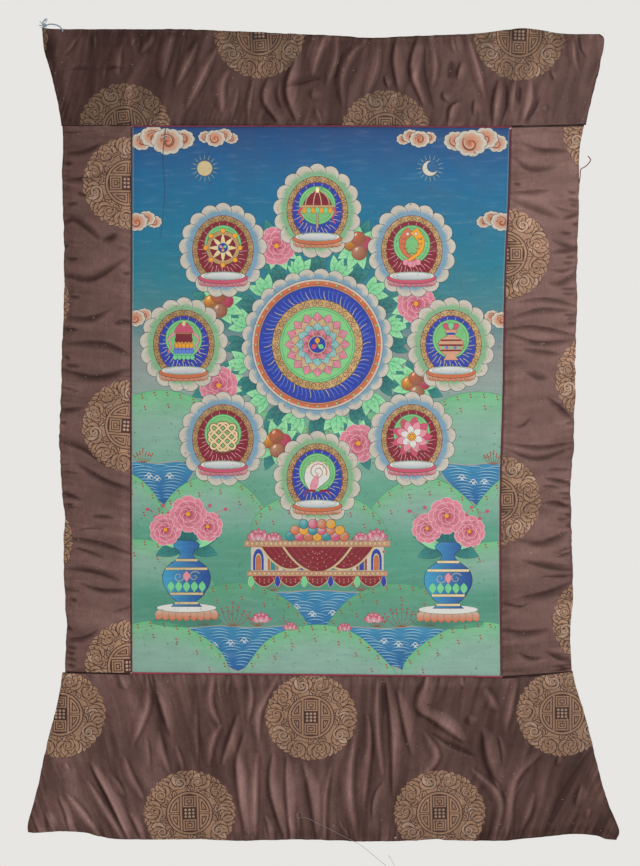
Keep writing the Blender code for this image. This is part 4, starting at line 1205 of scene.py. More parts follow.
def pond(x, z, width, depth):
    # water below a pale shore, with long crests and curls of foam
    along = np.linspace(0, 1, 15)
    upper = np.stack([x - width / 2 + width * along, z + np.sin(along * 11 + x) * 1.1], axis=1)
    share = np.linspace(0.93, -0.93, 21)
    fall = depth * (1 - abs(share) ** 1.7) * (1 + 0.07 * np.sin(share * 13))
    lower = np.stack([x + width / 2 * share, z - fall], axis=1)
    lay(np.vstack([upper, lower]), graded("pond", "pondDeep", (x, z), (x, z - depth)), "shore", 0.8)
    for row in range(1, int(depth / 3.2)):
        level = z - row * 3.2
        reach = width * 0.92 * (1 - (z - level) / depth) ** 0.6
        pieces = max(2, int(reach / 24))
        for index in range(pieces):
            startX = x - reach / 2 + reach * index / pieces + dice.uniform(0, 3)
            crest = bow(startX, level, startX + reach / pieces * 0.8, level - dice.uniform(0.4, 1.6), 0.1,
                7)
            lay(spindle(crest, 1.0), "pondPale", cover=0.75)
            lay(spindle(crest - (0, 1.2), 0.9), (20, 70, 128), cover=0.6)
    for side in (-0.16, -0.03, 0.1):
        cx, cz = x + side * width + dice.uniform(-2, 2), z - depth * dice.uniform(0.3, 0.5)
        for shiftX, shiftZ, reach in ((0, 0, 3.4), (2.2, -1.9, 2.8), (-2.6, -1.4, 2.6), (0.4, -3.4, 2.2)):
            foam = bow(cx + shiftX - reach, cz + shiftZ, cx + shiftX + reach, cz + shiftZ - 0.4, 0.5, 7)
            lay(spindle(foam, 1.1), "white", cover=0.9)
        scroll(cx, cz - 1.4, 1.7, 0.4, 1, "white", 0.5, 1.0)


def grassSpray(x, z, size):
    for lean in outerFirst(7):
        tipX, tipZ = x + lean * size * 0.75, z + size * (1 - 0.35 * abs(lean)) * dice.uniform(0.85, 1.1)
        lay(stroke(bow(x + lean * 1.5, z, tipX, tipZ, -0.16 * lean, 6), 0.9, 0.5), "brown", cover=0.9)
        for share in (1.0, 0.8):
            lay(roundShape(x + (tipX - x) * share, z + (tipZ - z) * share, 1.05, count=6), "dot")


def hill(x, z, half, tall, top, low):
    # a rounded hill that fades downward, with brush marks, and pairs of red dots along its crest
    top, low = np.array(hue[top]), np.array(hue[low])

    def crest(angle, inset):
        wobble = 1 + 0.03 * math.sin(3 * angle + x) + 0.02 * math.sin(7 * angle + z)
        return (x + (half - inset) * wobble * math.cos(angle),
            z - tall + (tall - inset * 0.7) * math.sin(angle) ** 1.3)

    def fill(placeX, placeZ):
        level = z - tall + tall * np.clip(1 - ((placeX - x) / half) ** 2, 0, 1) ** 0.65
        below = np.clip((level - placeZ) / (tall * 0.4), 0, 1)[..., None]
        sunk = (np.clip((z - placeZ) / tall, 0, 1) ** 2.5)[..., None]
        bright = top + (low - top) * below ** 0.7
        return bright + (groundTone(placeX, placeZ) - bright) * sunk

    line = np.array([crest(angle, 0) for angle in np.linspace(0, math.pi, 29)])
    lay(line, fill)
    lay(stroke(line[2:-2], 0.7), "brush", cover=0.5)
    for row in range(1, 6):
        for angle in np.arange(0.4 + 0.1 * row, math.pi - 0.35, 0.3 + 0.06 * row):
            startX, startZ = crest(angle + dice.uniform(-0.05, 0.05), row * 6.5)
            endX, endZ = crest(angle + 5.5 / half, row * 6.5 + 1.5)
            lay(spindle(bow(startX, startZ, endX, endZ, 0.1, 5), 0.8), "brush", cover=0.3)
    for inset, apart in ((3.5, 15), (22, 34)):
        for angle in np.arange(0.45, math.pi - 0.4, apart / half):
            dotX, dotZ = crest(angle, inset)
            for step in (0, 3.0):
                lay(roundShape(dotX + step * 0.3, dotZ - step, 1.05, count=6), "dot")


def cloudRim(x, z, radius, tall, count, tint):
    # a body of one tint with a rim of overlapping pale puffs
    puff = radius * 3.6 / count
    for cx, cz, angle in radial(x, z, radius - puff * 0.62, count, 0.25, tall):
        lay(roundShape(cx, cz, puff, puff, 16), "cream", "ink", 0.5)
        inX, inZ = toward(cx, cz, angle, puff * -0.3)
        lay(roundShape(inX, inZ, puff * 0.72, puff * 0.72, 14),
            rounded(tint, "cream", *toward(inX, inZ, angle, -puff), puff * 1.7), "tan", 0.35)
    for inset, share in ((0.5, 0.22), (0.6, 0.3), (0.7, 0.45), (0.8, 0.7)):  # the tint deepens inward
        body = radius - puff * inset
        lay(scallop(x, z, body, body * tall, count, 0.05, 0.2), tint, cover=share)


def signNiche(x, z, radius, field, rays, tint, seat):
    # a cloud-edged aureole: gold frame, rayed field, green halo and a seat
    cloudRim(x, z, radius, 1.09, 17, tint)
    for reach, tall, fill, edge, gilt in ((0.74, 0.84, "gold", "red", 0.6), (0.61, 0.7, field, "red", 0.0)):
        lay(roundShape(x, z, radius * reach, radius * tall, 44), fill, edge, 0.6, gilt=gilt)
        if gilt:
            for index, (cx, cz, angle) in enumerate(radial(x, z, radius * 0.675, 30, share=1.14)):
                scroll(cx, cz, radius * 0.07, angle, 1 if index % 2 else -1, "goldDark", 0.85, 1.3)
    for index, (_, _, angle) in enumerate(radial(0, 0, 1, 36, 0.5)):
        inner, outer = (0.42, 0.6) if index % 2 else (0.36, 0.52)
        line = spoke(x, z, angle, radius * inner, radius * outer, 0.06, 4, 1.14, 0.06)
        lay(stroke(line, 0.75, 0.4), rays)
    lay(roundShape(x, z + radius * 0.14, radius * 0.44, radius * 0.46, 32), "halo", "haloLine", 0.7)
    lay(roundShape(x, z + radius * 0.14, radius * 0.385, radius * 0.405, 30), (116, 186, 118), "haloLine",
        0.4)
    base = z - radius * 0.7
    for cx, _, angle in radial(x, base, radius * 0.4, 20, 10.5):
        if angle < fullTurn:
            lay(petal(cx, base + radius * 0.05, angle * 0.5 + math.pi * 0.75, radius * 0.26, radius * 0.22,
                1.3, 0.8), graded("cream", seat, (x, base), (x, base - radius * 0.22)), "goldDark", 0.4)
    lay(roundShape(x, base + radius * 0.02, radius * 0.6, radius * 0.14, 26), seat, "goldDark", 0.6)
    for share, tone in ((1.0, "white"), (0.86, (176, 184, 190))):  # a white seat, greyer toward its foot
        lay(roundShape(x, base + radius * 0.07, radius * 0.54 * share, radius * 0.1 * share, 24),
            graded("white", tone, (x, base + radius * 0.12), (x, base)), "haloLine", 0.4)


def signBrush(x, z, size):
    # paints in the sign's own frame, where its half height is 1
    def put(points, fill, edge="ink", width=0.45, gilt=0.0):
        lay(placed(points, x, z, size), fill, edge, width, gilt=gilt)
    return put


def streamers(put, points, fill, edge, width=0.12):
    for side in (-1, 1):
        put(stroke(np.array(points) * (side, 1), width, 0.04), fill, edge, 0.3)


def parasol(put):
    put(rectangle(-0.04, -0.95, 0.04, 0.4), "gold", gilt=0.7)
    put(bow(-0.75, 0.12, 0.75, 0.12, 0.52, 13), "red")
    for index in range(-3, 4):
        put(petal(index * 0.21, 0.1, -math.pi / 2, 0.34, 0.22, 1.2, 0.7), "yellow" if index % 2 else "leaf",
            "red", 0.3)
    put(rectangle(-0.78, 0.06, 0.78, 0.17), "gold", "goldDark", 0.3, 0.7)
    for lean in (-0.42, -0.14, 0.14, 0.42):
        put(stroke(bow(lean * 1.4, 0.18, lean * 0.35, 0.86, -lean * 0.35, 6), 0.04), "goldPale", None)
    put(roundShape(0, 0.92, 0.1, 0.14, 12), "goldPale", "goldDark", 0.3, 0.8)
    streamers(put, [(0.78, 0.08), (0.9, -0.2), (0.72, -0.42), (0.86, -0.7)], "pink", "rose")


def twinFish(put):
    for side, tone in ((-1, "orange"), (1, "yellow")):
        spine = [(side * 0.1, 0.86), (side * 0.46, 0.35), (side * 0.36, -0.2), (side * -0.16, -0.62)]
        for turn, wide in ((-0.9, 0.3), (0.1, 0.26)):
            put(petal(side * -0.1, -0.55, -math.pi / 2 + side * turn, 0.42, wide, 1.3), "pinkPale", "red",
                0.35)
        put(petal(side * 0.52, 0.35, -math.pi / 2 + side * 0.7, 0.4, 0.26), "leaf", "ink", 0.3)
        put(stroke(smoothLine(spine, 0.16), 0.42, 0.1), tone, "red", 0.4, 0.2)
        for place in range(4):
            level, centre = 0.5 - place * 0.24, side * (0.4 - 0.1 * max(0, place - 1) ** 1.4)
            put(stroke(bow(centre - 0.12, level, centre + 0.12, level, -0.35, 5), 0.035), "brown", None)
        put(roundShape(side * 0.2, 0.68, 0.07, count=8), "white", "ink", 0.3)


def vaseShape(half, step):
    line = smoothLine(half, step)
    return np.vstack([line, line[::-1] * (-1, 1)])


def treasureVase(put):
    for place in outerFirst(3):
        put(petal(place * 0.12, 0.6, math.pi / 2 - place * 0.6, 0.4, 0.26, 1.2, 0.8),
            "pink" if place else "leaf", "red", 0.35)
    half = [(0.2, 0.62), (0.3, 0.52), (0.16, 0.42), (0.16, 0.32), (0.52, 0.12), (0.6, -0.16), (0.44, -0.5),
        (0.22, -0.66), (0.36, -0.86)]
    put(vaseShape(half, 0.09), "tan", "brown", 0.5, 0.4)
    for level, reach in ((0.1, 0.5), (-0.14, 0.58), (-0.4, 0.5)):
        put(rectangle(-reach, level - 0.045, reach, level + 0.045), "red", "goldPale", 0.25)
    for index in range(-2, 3):
        put(roundShape(index * 0.2, -0.26, 0.07, count=8), "cobaltLight" if index % 2 else "leaf", "ink",
            0.25)
    put(roundShape(0, 0.42, 0.26, 0.06, 14), "cobalt", "goldPale", 0.3)


def openLotus(put):
    for ring, (count, length, width, tone) in enumerate(((9, 0.95, 0.42, "pink"),
            (8, 0.74, 0.38, "pinkPale"), (6, 0.5, 0.32, "white"))):
        for x, z, angle in radial(0, 0, 0.06, count, ring * 0.35 / fullTurn * count):
            put(petal(x, z, angle, length, width, 1.25, 0.8), tone, "rose", 0.35)
    put(roundShape(0, 0, 0.2, count=16), "yellow", "brown", 0.4)
    for x, z, _ in radial(0, 0, 0.12, 6):
        put(roundShape(x, z, 0.035, count=6), "leafDark", None)


def conch(put):
    put(smoothLine([(-0.3, -0.85), (-0.62, -0.2), (-0.5, 0.42), (0.02, 0.72), (0.52, 0.42), (0.58, -0.1),
        (0.16, -0.5)], 0.1), "white", "ink", 0.5)
    put(stroke(spiral(0.02, 0.2, 0.46, 0.05, -0.4, 1.9), 0.07, 0.03), "tan", None)
    put(petal(-0.28, -0.8, 1.25, 0.95, 0.34, 0.8), "pinkPale", "rose", 0.3)
    for x, z, angle in radial(0.02, 0.2, 0.56, 12, 1, 0.9):
        if angle < 2.7:
            put(roundShape(x, z, 0.06, count=7), "goldPale", "goldDark", 0.25, 0.5)
    streamers(put, [(0.1, -0.75), (0.5, -0.7), (0.62, -0.95)], "red", "rose")


def endlessKnot(put):
    # bands laid slantwise both ways, with loops where they turn
    step = 0.3
    for width, tone, gilt in ((0.17, "red", 0.0), (0.1, "goldPale", 0.7)):
        bands = []
        for index in (-1.5, -0.5, 0.5, 1.5):
            reach = (2.1 if abs(index) < 1 else 1.5) * step
            bar = rectangle(-reach, index * step - width / 2, reach, index * step + width / 2)
            bands += [(bar, math.pi / 4), (bar, -math.pi / 4)]
        for quarter in range(4):
            for reach, level in ((1.5, 1), (1.5, -1), (2.1, 0)):
                loop = polar(reach * step, level * step, step * 0.5, step * 0.5,
                    np.linspace(-math.pi / 2, math.pi / 2, 8))
                bands.append((stroke(loop, width), (quarter + 0.5) * math.pi / 2))
        for points, turn in bands:
            put(placed(points, 0, 0, 1, turn), tone, None, gilt=gilt)


def victoryBanner(put):
    put(rectangle(-0.04, -0.95, 0.04, 0.9), "gold", "goldDark", 0.3, 0.7)
    for level, half, tone in ((-0.62, 0.5, "leaf"), (-0.34, 0.46, "cobaltLight"), (-0.06, 0.43, "yellow"),
            (0.22, 0.4, "red")):
        for index in range(-2, 3):
            put(petal(index * half * 0.42, level + 0.06, -math.pi / 2, 0.3, half * 0.44, 1.2, 0.6), tone,
                "ink", 0.3)
        put(rectangle(-half, level, half, level + 0.24), tone, "ink", 0.35)
        put(rectangle(-half, level + 0.2, half, level + 0.27), "gold", "goldDark", 0.2, 0.6)
    put(bow(-0.5, 0.48, 0.5, 0.48, 0.5, 11), "pink", "red", 0.4)
    put(roundShape(0, 0.92, 0.1, 0.13, 12), "goldPale", "goldDark", 0.3, 0.8)
    streamers(put, [(0.45, 0.45), (0.75, 0.2), (0.6, -0.2), (0.78, -0.5)], "pinkPale", "rose")


def lawWheel(put):
    put(roundShape(0, 0, 0.82, count=32), "gold", "goldDark", 0.5, 0.8)
    put(roundShape(0, 0, 0.64, count=28), "red", "goldPale", 0.35)
    for x, z, angle in radial(0, 0, 0.84, 8):
        put(petal(0, 0, angle, 0.7, 0.2, 0.8), "goldPale", "goldDark", 0.3, 0.8)
        put(roundShape(x, z, 0.11, count=10), "yellow", "brown", 0.35, 0.4)
    put(roundShape(0, 0, 0.24, count=18), "cobalt", "goldPale", 0.4)
    for (_, _, angle), tone in zip(radial(0, 0, 1, 3, 0.25), ("leaf", "pinkPale", "yellow")):
        put(petal(0, 0, angle, 0.2, 0.14, 1.3), tone, "ink", 0.25)


def mandala(x, z, radius):
    # cloud rim, orange ring, cobalt rays, gold scrollwork, green disc and a lotus of many petals
    cloudRim(x, z, radius, 1.0, 30, "cloudBlue")
    for reach, tone, edge, width in ((0.9, "cream", "ink", 0.5), (0.875, "orange", None, 0),
            (0.82, "tan", "red", 0.5)):
        lay(roundShape(x, z, radius * reach, count=64), tone, edge, width)
    for index, (cx, cz, _) in enumerate(radial(x, z, radius * 0.85, 40)):
        lay(roundShape(cx, cz, 1.1, count=7), "goldPale" if index % 2 else "leaf", "brown", 0.3, gilt=0.3)
    lay(roundShape(x, z, radius * 0.8, count=60), "cobalt", "ink", 0.4)
    for index, (_, _, angle) in enumerate(radial(x, z, 1, 72)):
        outer = radius * (0.775 if index % 2 else 0.74)
        line = spoke(x, z, angle, radius * 0.63, outer, 0.08, 4, lean=0.05)
        lay(stroke(line, 0.9, 0.45), "cobaltLight" if index % 4 else "goldPale")
    lay(roundShape(x, z, radius * 0.62, count=52), "gold", "goldDark", 0.6, gilt=0.8)
    for index, (cx, cz, angle) in enumerate(radial(x, z, radius * 0.568, 38)):
        scroll(cx, cz, 3.6, angle, 1 if index % 2 else -1, "goldDark", 0.8, 1.5)
    lay(roundShape(x, z, radius * 0.515, count=48), "halo", "haloLine", 0.7)
    lay(roundShape(x, z, radius * 0.485, count=46), (128, 200, 128), "haloLine", 0.4)
    for count, length, width, root, tip in ((16, 0.45, 0.17, "rose", "pinkPale"),
            (16, 0.37, 0.15, "orange", "goldPale"), (12, 0.3, 0.15, "teal", "mist"),
            (8, 0.22, 0.15, "red", "pinkPale")):
        for tipX, tipZ, angle in radial(x, z, radius * length, count,
                0.0 if root in ("rose", "teal") else 0.5):
            lay(petal(x, z, angle, radius * length, radius * width, 1.5, 0.75),
                graded(root, tip, (x, z), (tipX, tipZ)), "ink", 0.4)
            line = spoke(x, z, angle, radius * length * 0.6, radius * length * 0.88, 0.0, 3)
            lay(stroke(line, 0.7, 0.3), "cream")
    lay(roundShape(x, z, radius * 0.115, count=24), "cobalt", "goldPale", 0.8)
    for (_, _, angle), tone in zip(radial(0, 0, 1, 3, 0.75), ("yellow", "pink", "leaf")):
        lay(petal(x, z, angle, radius * 0.1, radius * 0.07, 1.3), tone, "ink", 0.35)


def flowerVase(x, z, size, way):
    # a tall footed vase of peonies, leaves and coral on a lotus foot
    lay(roundShape(x, z - size * 0.06, size * 0.46, size * 0.07, 24), (40, 110, 92), cover=0.5)
    for side in outerFirst(9):
        lay(petal(x + side * size * 0.3, z + size * 0.12, -math.pi / 2 + side * 0.5, size * 0.17,
            size * 0.11, 1.2, 0.8), graded("cream", "orange", (x, z + size * 0.12), (x, z - size * 0.05)),
            "brown", 0.35)
    lay(roundShape(x, z + size * 0.12, size * 0.38, size * 0.055, 24), "white", "haloLine", 0.4)
    for lean in outerFirst(6):  # coral
        rise = size * (0.6 - 0.12 * abs(lean))
        lay(stroke(bow(x, z + size * 0.9, x + lean * size * 0.5, z + size * 0.9 + rise, 0.12 * lean, 7),
            1.3, 0.6), "pink")
        for part in (0.6, 0.8, 1.0):
            lay(roundShape(x + lean * size * 0.5 * part, z + size * 0.9 + rise * part, 1.7, count=8),
                "pink", "rose", 0.35)
    for angle, dark in ((2.9, True), (0.25, True), (2.3, False), (0.85, False), (1.57, True)):
        leafSpray(x, z + size * 0.95, angle, size * 0.46, dark)
    body = placed(vaseShape([(0.1, 0.98), (0.17, 0.92), (0.09, 0.84), (0.1, 0.76), (0.27, 0.62),
        (0.3, 0.45), (0.2, 0.27), (0.12, 0.2), (0.2, 0.14)], 0.04), x, z, size)
    lay(body, graded((60, 150, 190), (24, 70, 140), (x - size * 0.25, z), (x + size * 0.28, z)), "ink", 0.6)
    for level, reach in ((0.73, 0.14), (0.62, 0.265), (0.3, 0.21), (0.18, 0.15)):
        lay(placed(rectangle(-reach, level - 0.014, reach, level + 0.014), x, z, size), "goldPale",
            "goldDark", 0.35, gilt=0.6)
    for index in range(-2, 3):
        lay(petal(x + index * size * 0.1, z + size * 0.32, math.pi / 2, size * 0.14, size * 0.09, 1.1),
            "leaf", "leafDark", 0.3)
    for side in (-1, 1):
        scroll(x + side * size * 0.1, z + size * 0.52, size * 0.075, 0.5, side, "goldPale", 0.7, 1.2)
    lay(petal(x, z + size * 0.45, math.pi / 2, size * 0.14, size * 0.09, 1.2), "pinkPale", "rose", 0.35)
    for side, rise, radius in ((-0.27, 1.12, 0.2), (0.27, 1.16, 0.19), (0.02, 1.32, 0.23)):
        peony(x + way * side * size, z + rise * size, radius * size, side)


def altar(x, z, width):
    # a low carved table with a red cloth, flowers, fruit and a heap of jewels
    left, right = x - width / 2, x + width / 2
    lay(rectangle(left, z - 34, right, z), "cream", "red", 0.6)
    tones = ("cobalt", "orange", "teal", "redLight")
    for index in range(9):
        middle, wide = left + width * (index + 0.5) / 9, width * 0.038
        for share, tone in ((1.0, tones[index % 4]), (0.62, "goldPale"), (0.4, tones[(index + 1) % 4])):
            arch = polar(middle, z - 17, wide * share, 12 * share, np.linspace(0, math.pi, 9))
            lay(np.vstack([arch, [(middle - wide * share, z - 28), (middle + wide * share, z - 28)]]), tone,
                "ink", 0.35)
        lay(roundShape(middle + width / 18, z - 8, 1.3, count=8), "redLight", "goldPale", 0.4)
    for middle, wide in ((x - width * 0.2, width * 0.24), (x + width * 0.2, width * 0.24),
            (x, width * 0.27)):
        for share, tone in ((1.0, "goldPale"), (0.93, "red")):  # a cloth hung in swags
            swag = bow(middle - wide * share, z - 2, middle + wide * share, z - 2, -0.38, 17)
            lay(swag, tone)
        for share in (0.74, 0.56, 0.38, 0.2):
            line = bow(middle - wide * share, z - 3, middle + wide * share, z - 3, -0.38, 13)
            lay(stroke(line, 0.9, 0.5), "redLight", cover=0.8)
            for placeX, placeZ in line[2:-2:2]:
                lay(roundShape(placeX, placeZ - 1.7, 0.55, count=6), "goldPale")
    drop = width / 5
    for index in range(5):  # scallops of the lower cloth
        start = left + index * drop
        hem = bow(start, z - 34, start + drop, z - 34, -0.42, 13)
        lay(hem, "red", "goldPale", 0.7)
        for depth in (0.14, 0.27):
            line = bow(start + 2, z - 34, start + drop - 2, z - 34, -depth, 11)
            lay(stroke(line, 0.6), "redLight")
            for placeX, placeZ in line[1:-1:2]:
                lay(roundShape(placeX, placeZ - 1.4, 0.6, count=6), "goldPale")
    for index in range(6):
        lay(petal(left + index * drop, z - 32, -math.pi / 2, 15, 6.0, 1.4, 0.8),
            "cobalt" if index % 2 else "leaf", "goldPale", 0.5)
    for level, reach, tall in ((z - 32, 4, 2.6), (z + 1, 7, 3.4)):
        lay(rectangle(left - reach, level - tall, right + reach, level + tall), "tan", "brown", 0.5,
            gilt=0.2)
        for place in np.arange(left - reach + 3, right + reach - 2, 5.2):
            lay(petal(place, level - tall * 0.7, math.pi / 2, tall * 1.4, 3.4, 1.2), "goldPale", "brown",
                0.3)
    size = 5.2
    pairs = (("teal", "mist"), ("pink", "white"), ("orange", "cream"), ("yellow", "goldPale"))
    for row, count in enumerate((7, 6, 4)):
        for index in range(count):
            tone, light = pairs[(index + 2 * row) % 4]
            cx, cz = x + (index - (count - 1) / 2) * size * 1.9, z + 9 + row * size * 1.3
            lay(roundShape(cx, cz, size, count=16), rounded(light, tone, cx - size * 0.3, cz + size * 0.4,
                size * 1.1), "ink", 0.45)
    for side in (-1, 1):
        lotusBloom(x + side * (width / 2 - 8), z + 4, 14)
        lotusBloom(x + side * (width / 2 - 25), z + 4, 10)


groundTone = stepped(picture["skyHeights"], picture["skyTones"])


def paintPicture():
    middleX, middleZ = picture["middle"]
    for kind, *place in picture["land"]:
        if kind == "pond":
            pond(*place)
        else:
            hill(*place, *picture["hillTones"][kind])
    for place in picture["grass"]:
        grassSpray(*place)
    for place in picture["clouds"]:
        cloudBank(*place)
    for x, tone in picture["sunAndMoon"]:
        z = picture["sunHeight"]
        lay(roundShape(x, z, 8, count=24), tone, "gold", 0.6, gilt=0.3)
        for _, _, angle in radial(x, z, 10, 16):
            lay(stroke(spoke(x, z, angle, 10, 15, 0.05, 3), 0.7, 0.3), "goldPale", cover=0.8)
    lay(roundShape(x + 3, z + 2, 6.6, count=20), (24, 84, 134), cover=0.9)  # the moon's dark part
    # leaves round the mandala, then flowers and fruit between the signs
    ring = picture["ringRadius"]
    for index, (x, z, angle) in enumerate(radial(middleX, middleZ, picture["mandala"] * 0.98, 24)):
        leafSpray(x, z, angle + 0.25 * (-1) ** index, 25, index % 2 == 0)
    between = list(radial(middleX, middleZ, ring * 0.8, 8, 0.5))
    for x, z, angle in between:
        for turn, dark in ((0.0, True), (1.15, False), (-1.15, False), (2.3, True), (-2.3, True),
                (3.14, False)):
            leafSpray(x, z, angle + turn, 32 - abs(turn), dark)
    for index, (x, z, angle) in enumerate(between):
        if index % 2:
            for shiftX, shiftZ, tone, tip in ((-8, 2, "yellow", "brown"), (8, 3, "pink", "rose"),
                    (1, -8, "tan", "brown"), (0, 8, "orange", "brown")):
                fruit(x + shiftX, z + shiftZ, 8.2, tone, tip)
        else:
            peony(x, z, 21, angle)
    mandala(middleX, middleZ, picture["mandala"])
    signs = (treasureVase, twinFish, parasol, lawWheel, victoryBanner, endlessKnot, conch, openLotus)
    for index, (x, z, _) in enumerate(radial(middleX, middleZ, ring, 8)):
        field, rays, tint, seat = (("red", "pinkPale", "cloudBlue", "pink"),
            ("cobalt", "goldPale", "cloudGreen", "orange"))[index % 2 == 0]
        signNiche(x, z, picture["signRadius"], field, rays, tint, seat)
        signs[index](signBrush(x, z + 2.5, picture["signRadius"] * 0.5))
    altar(middleX, *picture["altar"])
    for place in picture["vases"]:
        flowerVase(*place)
    for place in picture["lotuses"]:
        lotusBloom(*place)
    for side, way in (("left", 1), ("right", -1)):  # bare cotton shows at the upright edges
        line = smoothLine([(x + way * 1.7, z) for x, z in seams[side]], 12)
        lay(stroke(line, 1.3), (158, 154, 148), cover=0.5)
    crease = smoothLine(picture["crease"], 6)  # an old upright one
    lay(stroke(crease, 1.6, 0.5), (18, 48, 70), cover=0.5)


def buildPainting():
    inset = picture["inset"]
    left = [(x + inset, z) for x, z in seams["left"]]
    right = [(x - inset, z) for x, z in seams["right"]]
    upper = [(x, z - inset) for x, z in seams["top"]]
    lower = [(x, z + inset) for x, z in seams["bottom"]]
    upper[0], upper[-1] = (left[0][0], upper[0][1]), (right[0][0], upper[-1][1])
    lower[0], lower[-1] = (left[-1][0], lower[0][1]), (right[-1][0], lower[-1][1])
    sides = [smoothLine(lower, 8), smoothLine([lower[-1]] + right[1:-1][::-1] + [upper[-1]], 8),
        smoothLine(upper, 8)[::-1], smoothLine([upper[0]] + left[1:-1] + [lower[0]], 8)]
    ring = np.vstack([side[:-1] for side in sides])
    low, high = ring.min(axis=0), ring.max(axis=0)

    def depthAt(x, z):
        column = (x - low[0]) / (high[0] - low[0]) * picture["columns"]
        row = (high[1] - z) / (high[1] - low[1]) * picture["rows"]
        swayed = 0.5 + 0.5 * np.sin(0.9 * row + 1.7 * column)
        edge = np.minimum.reduce([x - low[0], high[0] - x, z - low[1], high[1] - z])
        waved = 0.82 * swayed + 0.18 * np.sin(z / 9 + 2 * np.sin(x / 70)) + 0.18
        return picture["cockle"] * waved * np.clip(edge / 9, 0, 1)

    paintPicture()
    piece = clothSheet("paintedCanvas", ring, pictureLayers, groundTone, depthAt, picture,
        (paintMaterial, bareCotton))
    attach(piece, "root")
    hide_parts("painting")


buildPainting()

# What is swept or sewn along a path: Geometry Nodes over a mesh of bare edges

def lineTree(name, numbers):
    tree = bpy.data.node_groups.new(name, "GeometryNodeTree")
    kinds = [("Geometry", "NodeSocketGeometry")] + [(label, "NodeSocketFloat") for label in numbers]
    for label, kind in kinds + [("Seed", "NodeSocketInt"), ("Material", "NodeSocketMaterial")]:
        tree.interface.new_socket(label, in_out="INPUT", socket_type=kind)
    tree.interface.new_socket("Geometry", in_out="OUTPUT", socket_type="NodeSocketGeometry")
    given = tree.nodes.new("NodeGroupInput").outputs
    curve = node(tree, "GeometryNodeMeshToCurve", {0: given["Geometry"]}).outputs[0]
    return tree, given, curve


def endTree(tree, given, made):
    real = node(tree, "GeometryNodeRealizeInstances", {"Geometry": made}).outputs[0]
    painted = node(tree, "GeometryNodeSetMaterial", {"Geometry": real,
        "Material": given["Material"]}).outputs[0]
    tree.links.new(painted, tree.nodes.new("NodeGroupOutput").inputs[0])


def makeSweepTree():
    tree, given, curve = lineTree("sweptThread", ["Radius"])
    rim = node(tree, "GeometryNodeCurvePrimitiveCircle", {"Resolution": 10, "Radius": given["Radius"]})
    swept = node(tree, "GeometryNodeCurveToMesh", {"Curve": curve, "Profile Curve": rim.outputs[0],
        "Fill Caps": True})
    smooth = node(tree, "GeometryNodeSetShadeSmooth", {"Geometry": swept.outputs[0]})
    endTree(tree, given, smooth.outputs[0])
    return tree


def makeStitchTree():
    tree, given, curve = lineTree("sewnStitches", ["Radius", "Half Length", "Step", "Tilt"])
    even = node(tree, "GeometryNodeResampleCurve", {"Curve": curve, "Length": given["Step"]}, mode="LENGTH")
    grain = node(tree, "GeometryNodeMeshUVSphere", {"Segments": 8, "Rings": 6, "Radius": 1.0})
    smooth = node(tree, "GeometryNodeSetShadeSmooth", {"Geometry": grain.outputs[0]})
    along = node(tree, "GeometryNodeInputTangent")
    facing = node(tree, "FunctionNodeAlignRotationToVector", {"Vector": along.outputs[0]}, axis="Z")
    size = node(tree, "ShaderNodeCombineXYZ", {0: given["Radius"], 1: given["Radius"],
        2: given["Half Length"]})
    row = node(tree, "GeometryNodeInstanceOnPoints",
        {"Points": even.outputs[0], "Instance": smooth.outputs[0], "Rotation": facing.outputs[0],
        "Scale": size.outputs[0]})
    tilt = node(tree, "ShaderNodeCombineXYZ", {0: given["Tilt"], 1: given["Tilt"], 2: 0.0})
    back = node(tree, "ShaderNodeVectorMath", {0: tilt.outputs[0], "Scale": -1.0}, operation="SCALE")
    chance = node(tree, "FunctionNodeRandomValue", {0: back.outputs[0], 1: tilt.outputs[0],
        "Seed": given["Seed"]}, data_type="FLOAT_VECTOR")
    turned = node(tree, "GeometryNodeRotateInstances",
        {"Instances": row.outputs[0], "Rotation": chance.outputs[0]})
    endTree(tree, given, turned.outputs[0])
    return tree


sweepTree = makeSweepTree()
stitchTree = makeStitchTree()


def madeAlong(name, paths, tree, material, sizes):
    # paths and sizes in millimetres; the tree's result is kept as a plain mesh
    points, edges = [], []
    for path in paths:
        edges += [(len(points) + step, len(points) + step + 1) for step in range(len(path) - 1)]
        points += [tuple(np.array(point) * mm) for point in path]
    mesh = bpy.data.meshes.new(name)
    mesh.from_pydata(points, edges, [])
    piece = linked(name, mesh)
    modifier = piece.modifiers.new("along", "NODES")
    modifier.node_group = tree
    values = {label: size if label == "Tilt" else size * mm for label, size in sizes.items()}
    values.update({"Material": material, "Seed": 7})
    for item in tree.interface.items_tree:
        if item.in_out == "INPUT" and item.name in values:
            modifier[item.identifier] = values[item.name]
    made = bpy.data.meshes.new_from_object(piece.evaluated_get(bpy.context.evaluated_depsgraph_get()))
    piece.modifiers.remove(modifier)
    piece.data = made
    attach(piece, "root")
    print(f"{name}: {len(made.polygons)} faces")
    return piece


def twisted(path, strands, offset, pitch, phase=0.0):
    # strands laid round a path
    path = np.array(path, float)
    ways = np.gradient(path, axis=0)
    gone = np.concatenate([[0], np.cumsum(np.linalg.norm(np.diff(path, axis=0), axis=1))])
    result = []
    for index in range(strands):
        line = []
        for point, way, done in zip(path, ways, gone):
            way = Vector(way).normalized()
            side = way.cross(Vector((0.13, 1, 0.21))).normalized()
            over = way.cross(side)
            turn = phase + index / strands * fullTurn + done / pitch * fullTurn
            line.append(np.array(Vector(point) + (side * math.cos(turn) + over * math.sin(turn)) * offset))
        result.append(line)
    return result


